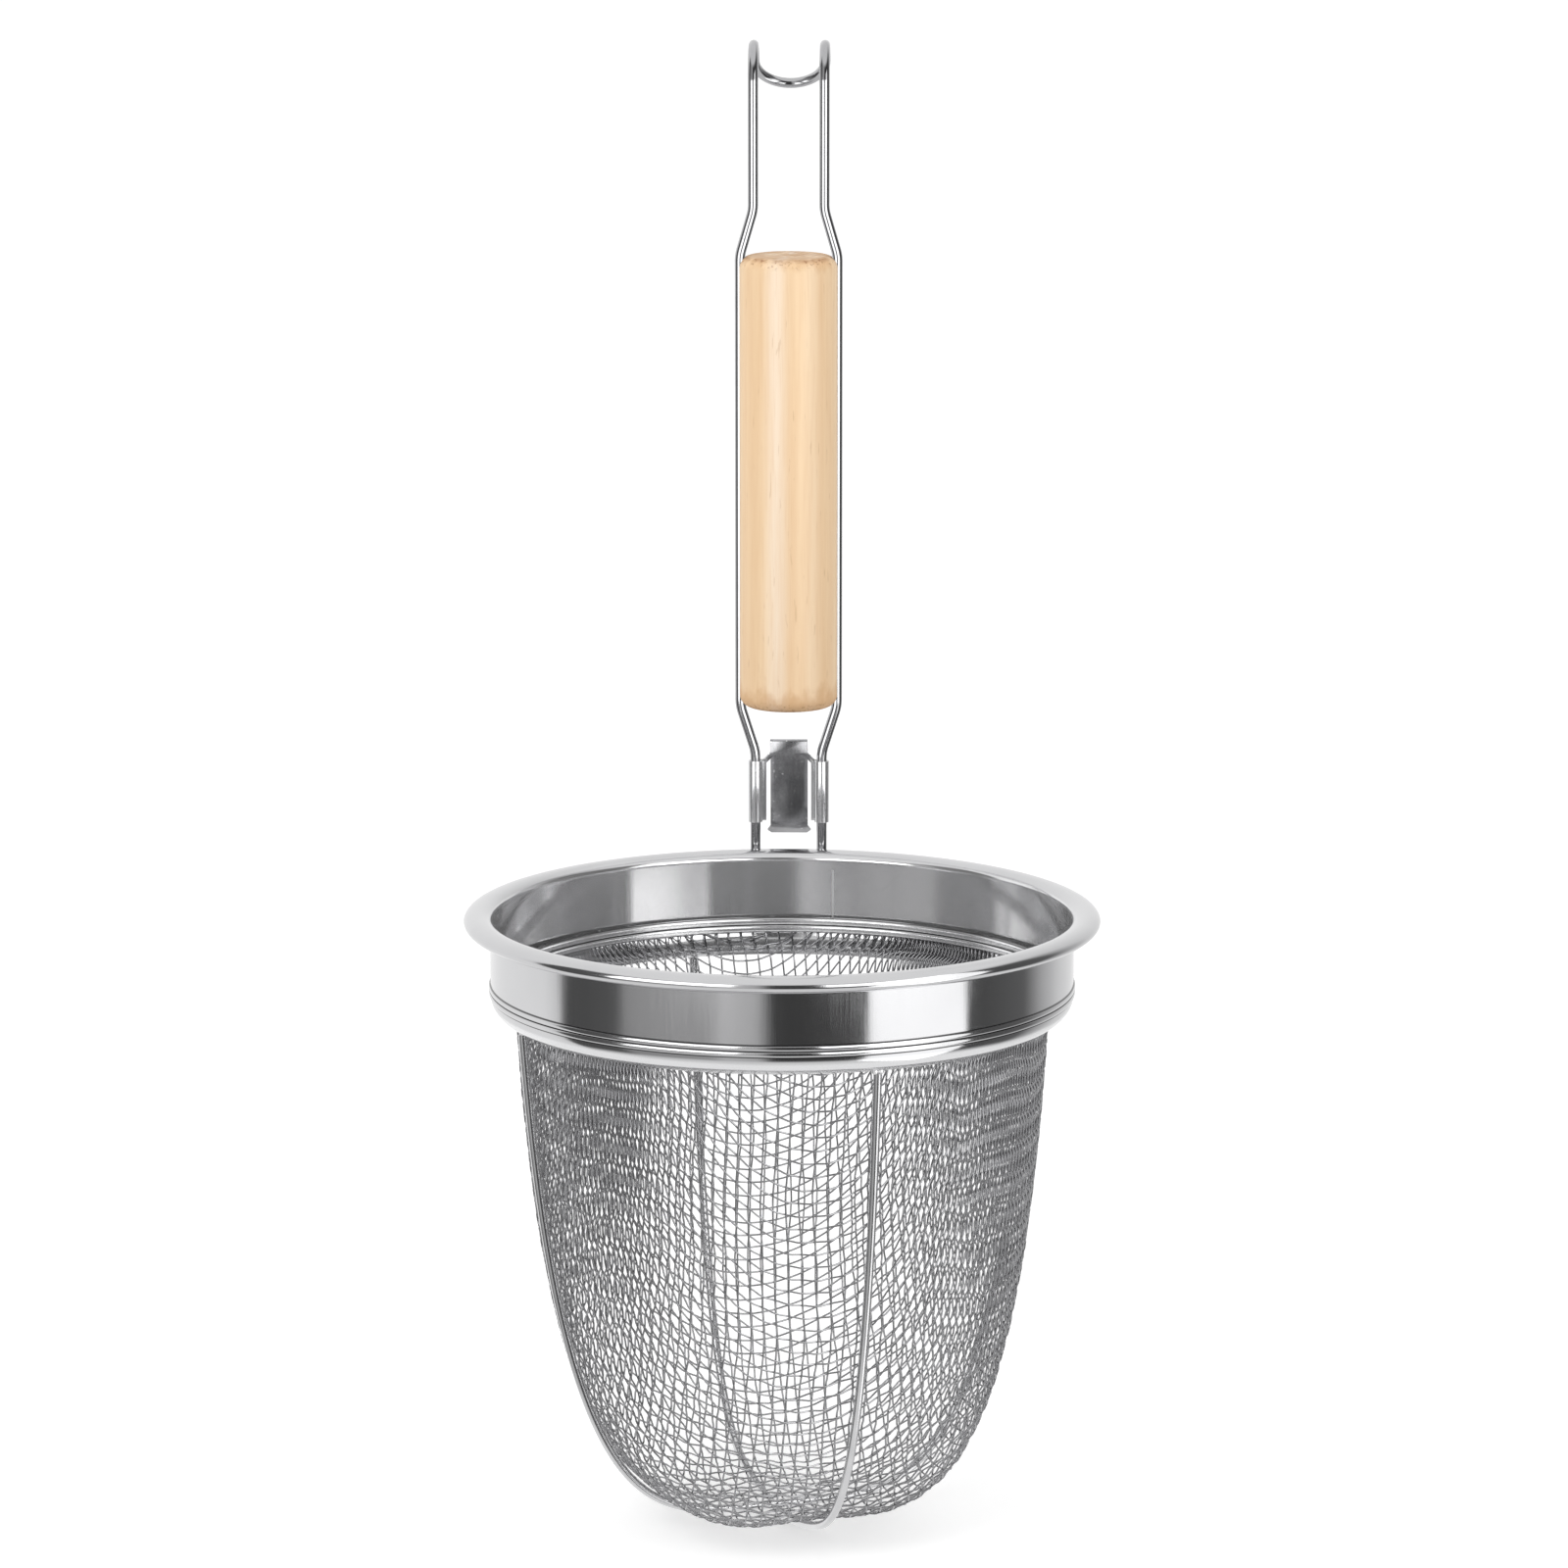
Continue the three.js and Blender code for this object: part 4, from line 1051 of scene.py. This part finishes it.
clip = new_piece("sheet_clip", strap_plate(), satin_sheet())
clip_meshes = folded_tongue(), rolled_sleeve(1), rolled_sleeve(-1)
clip_parts = [new_piece("clip_tool", mesh, clip.data.materials[0]) for mesh in clip_meshes]
for part in clip_parts:
    weld = clip.modifiers.new("Weld", "BOOLEAN")
    weld.operation = "UNION"
    weld.solver = "EXACT"
    weld.object = part
settle(clip)
for part in clip_parts:
    bpy.data.objects.remove(part)
clean(clip.data, sheet_sharp)
round_edges = clip.modifiers.new("Round", "BEVEL")
round_edges.width = sheet_bevel
round_edges.segments = bevel_rows
round_edges.limit_method = "ANGLE"
round_edges.angle_limit = bevel_from
settle(clip)
clip.data.set_sharp_from_angle(angle=bevel_sharp)
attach(clip, "root")
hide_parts("pot_clip")


# Studio
# A white sweep lit softly from all round. Polished metal mirrors the dark boards that stand about it
# and the bright soft boxes close by: one for the band on the right, and a pair for the handle.
floor_reach = 12
floor_clearance = 0.5 * mm
floor_white = (0.92, 0.92, 0.92, 1)
floor_dullness = 0.9
floor_glow = 0.3
floor_mirrored = 0.9
boards = (
    (-180, 0.68), (-160, 0.7), (-106, 0.7), (-97, 0.62), (-94, 0.06), (-67, 0.08), (-62, 0.24), (-28, 0.28),
    (-22, 0.44), (-8, 0.4), (-3, 0.04), (79, 0.05), (112, 0.1), (124, 0.34), (142, 0.56), (180, 0.68),
)
board_gain = 1.45
board_foot = -0.72, -0.5
board_head = 0.55, 0.8
soft_level = 0.8
lamp_size = 0.9
key_place = Vector((-0.9, -1.3, 1.2))
key_glow = 3.9
fill_place = Vector((1.1, -1.0, 0.8))
fill_glow = 1.2
band_box_place = Vector((0.31, -0.285, -0.05))
band_box_facing = Vector((-1, 0.065, 0))
band_box_width = 0.35
band_box_height = 0.8
band_box_glow = 1.42
handle_box_level = 71 * mm
handle_box_side = 0.2
handle_box_ahead = 0.346
handle_box_width = 0.26
handle_box_height = 0.24
handle_box_glow = 2.2
photo_width = 1600
photo_focal = 6955
axis_pixel = 798
camera_distance = 1600 * mm
camera_elevation = math.radians(11)
camera_turn = math.radians(1.2)
aim_height = 30.2 * mm
sensor = 36

floor_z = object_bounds()[0].z - floor_clearance
corners = [(-floor_reach, -floor_reach), (floor_reach, -floor_reach)]
corners += [(floor_reach, floor_reach), (-floor_reach, floor_reach)]
floor_mesh = bpy.data.meshes.new("floor")
floor_mesh.from_pydata([(x, y, floor_z) for x, y in corners], [], [(0, 1, 2, 3)])
floor_paint = bpy.data.materials.new("floor_paint")
floor_paint.use_nodes = True
floor_shader = floor_paint.node_tree.nodes["Principled BSDF"].inputs
floor_shader["Base Color"].default_value = floor_white
floor_shader["Roughness"].default_value = floor_dullness
floor_shader["Emission Strength"].default_value = 1
floor_flow = Flow(floor_paint.node_tree)
floor_seen = floor_flow.add("ShaderNodeLightPath", {}, {}, "Is Camera Ray")
(floor_seen * floor_glow).into(floor_shader["Emission Color"])
floor = new_piece("floor", floor_mesh, floor_paint)
floor.visible_glossy = False

world = bpy.data.worlds.new("studio")
bpy.context.scene.world = world
world.use_nodes = True
sky = Flow(world.node_tree)
way = sky.add("ShaderNodeTexCoord", {}, {}, "Generated")
way_x = sky.add("ShaderNodeSeparateXYZ", {}, {"Vector": way}, "X")
way_y, way_z = way_x.out("Y"), way_x.out("Z")
around = sky.math("ARCTAN2", way_x, 0 - way_y) / (2 * math.pi) + 0.5
stops = [((angle + 180) / 360, (level, level, level, 1)) for angle, level in boards]
panels = sky.add("ShaderNodeValToRGB", {"stops": stops}, {"Fac": around}, 0)
panels = sky.add("ShaderNodeRGBToBW", {}, {"Color": panels}, 0) * board_gain
under = sky.ease(way_z, *board_foot)
over = sky.ease(way_z, *board_head)
reflected = floor_mirrored - floor_mirrored * under + panels * under
reflected = reflected * (1 - over) + over
glossy = sky.add("ShaderNodeLightPath", {}, {}, "Is Glossy Ray")
seen = glossy.out("Is Camera Ray")
other = 1 - glossy - seen
strength = seen + glossy * reflected + other * soft_level
background = world.node_tree.nodes["Background"].inputs
background["Color"].default_value = (1, 1, 1, 1)
strength.into(background["Strength"])


def soft_lamp(name, place, target, width, height, glow, mirrored):
    """A soft lamp aimed at a point, which metal mirrors and nothing else shows, or the other way round"""
    light = bpy.data.lights.new(name, "AREA")
    light.shape = "RECTANGLE"
    light.size = width
    light.size_y = height
    light.energy = glow * math.pi * width * height
    lamp = bpy.data.objects.new(name, light)
    lamp.location = place
    lamp.rotation_mode = "QUATERNION"
    lamp.rotation_quaternion = (target - place).to_track_quat("-Z", "Y")
    lamp.visible_camera = False
    lamp.visible_glossy = mirrored
    lamp.visible_diffuse = not mirrored
    bpy.context.scene.collection.objects.link(lamp)


whole_middle = (cad_box[0] + cad_box[1]) / 2
soft_lamp("key_lamp", whole_middle + key_place, whole_middle, lamp_size, lamp_size, key_glow, False)
soft_lamp("fill_lamp", whole_middle + fill_place, whole_middle, lamp_size, lamp_size, fill_glow, False)
band_box = rim + band_box_place
band_aim = band_box + band_box_facing
soft_lamp("band_box", band_box, band_aim, band_box_width, band_box_height, band_box_glow, True)
handle_aim = rim + Vector((0, handle_y, handle_box_level))
for name, across in (("left_box", -handle_box_side), ("right_box", handle_box_side)):
    handle_box = handle_aim + Vector((across, -handle_box_ahead, 0))
    soft_lamp(name, handle_box, handle_aim, handle_box_width, handle_box_height, handle_box_glow, True)

camera_data = bpy.data.cameras.new("photo_camera")
camera_data.sensor_width = sensor
camera_data.lens = photo_focal / photo_width * sensor
sideways = (photo_width / 2 - axis_pixel) / photo_focal * camera_distance
around_axis = Matrix.Rotation(camera_turn, 3, "Z")
aim = rim + around_axis @ Vector((sideways, 0, aim_height))
back = around_axis @ Vector((0, -math.cos(camera_elevation), math.sin(camera_elevation)))
camera = bpy.data.objects.new("photo_camera", camera_data)
camera.location = aim + back * camera_distance
camera.rotation_mode = "QUATERNION"
camera.rotation_quaternion = (-back).to_track_quat("-Z", "Y")
bpy.context.scene.collection.objects.link(camera)
bpy.context.scene.camera = camera
bpy.context.scene.view_settings.view_transform = "Standard"
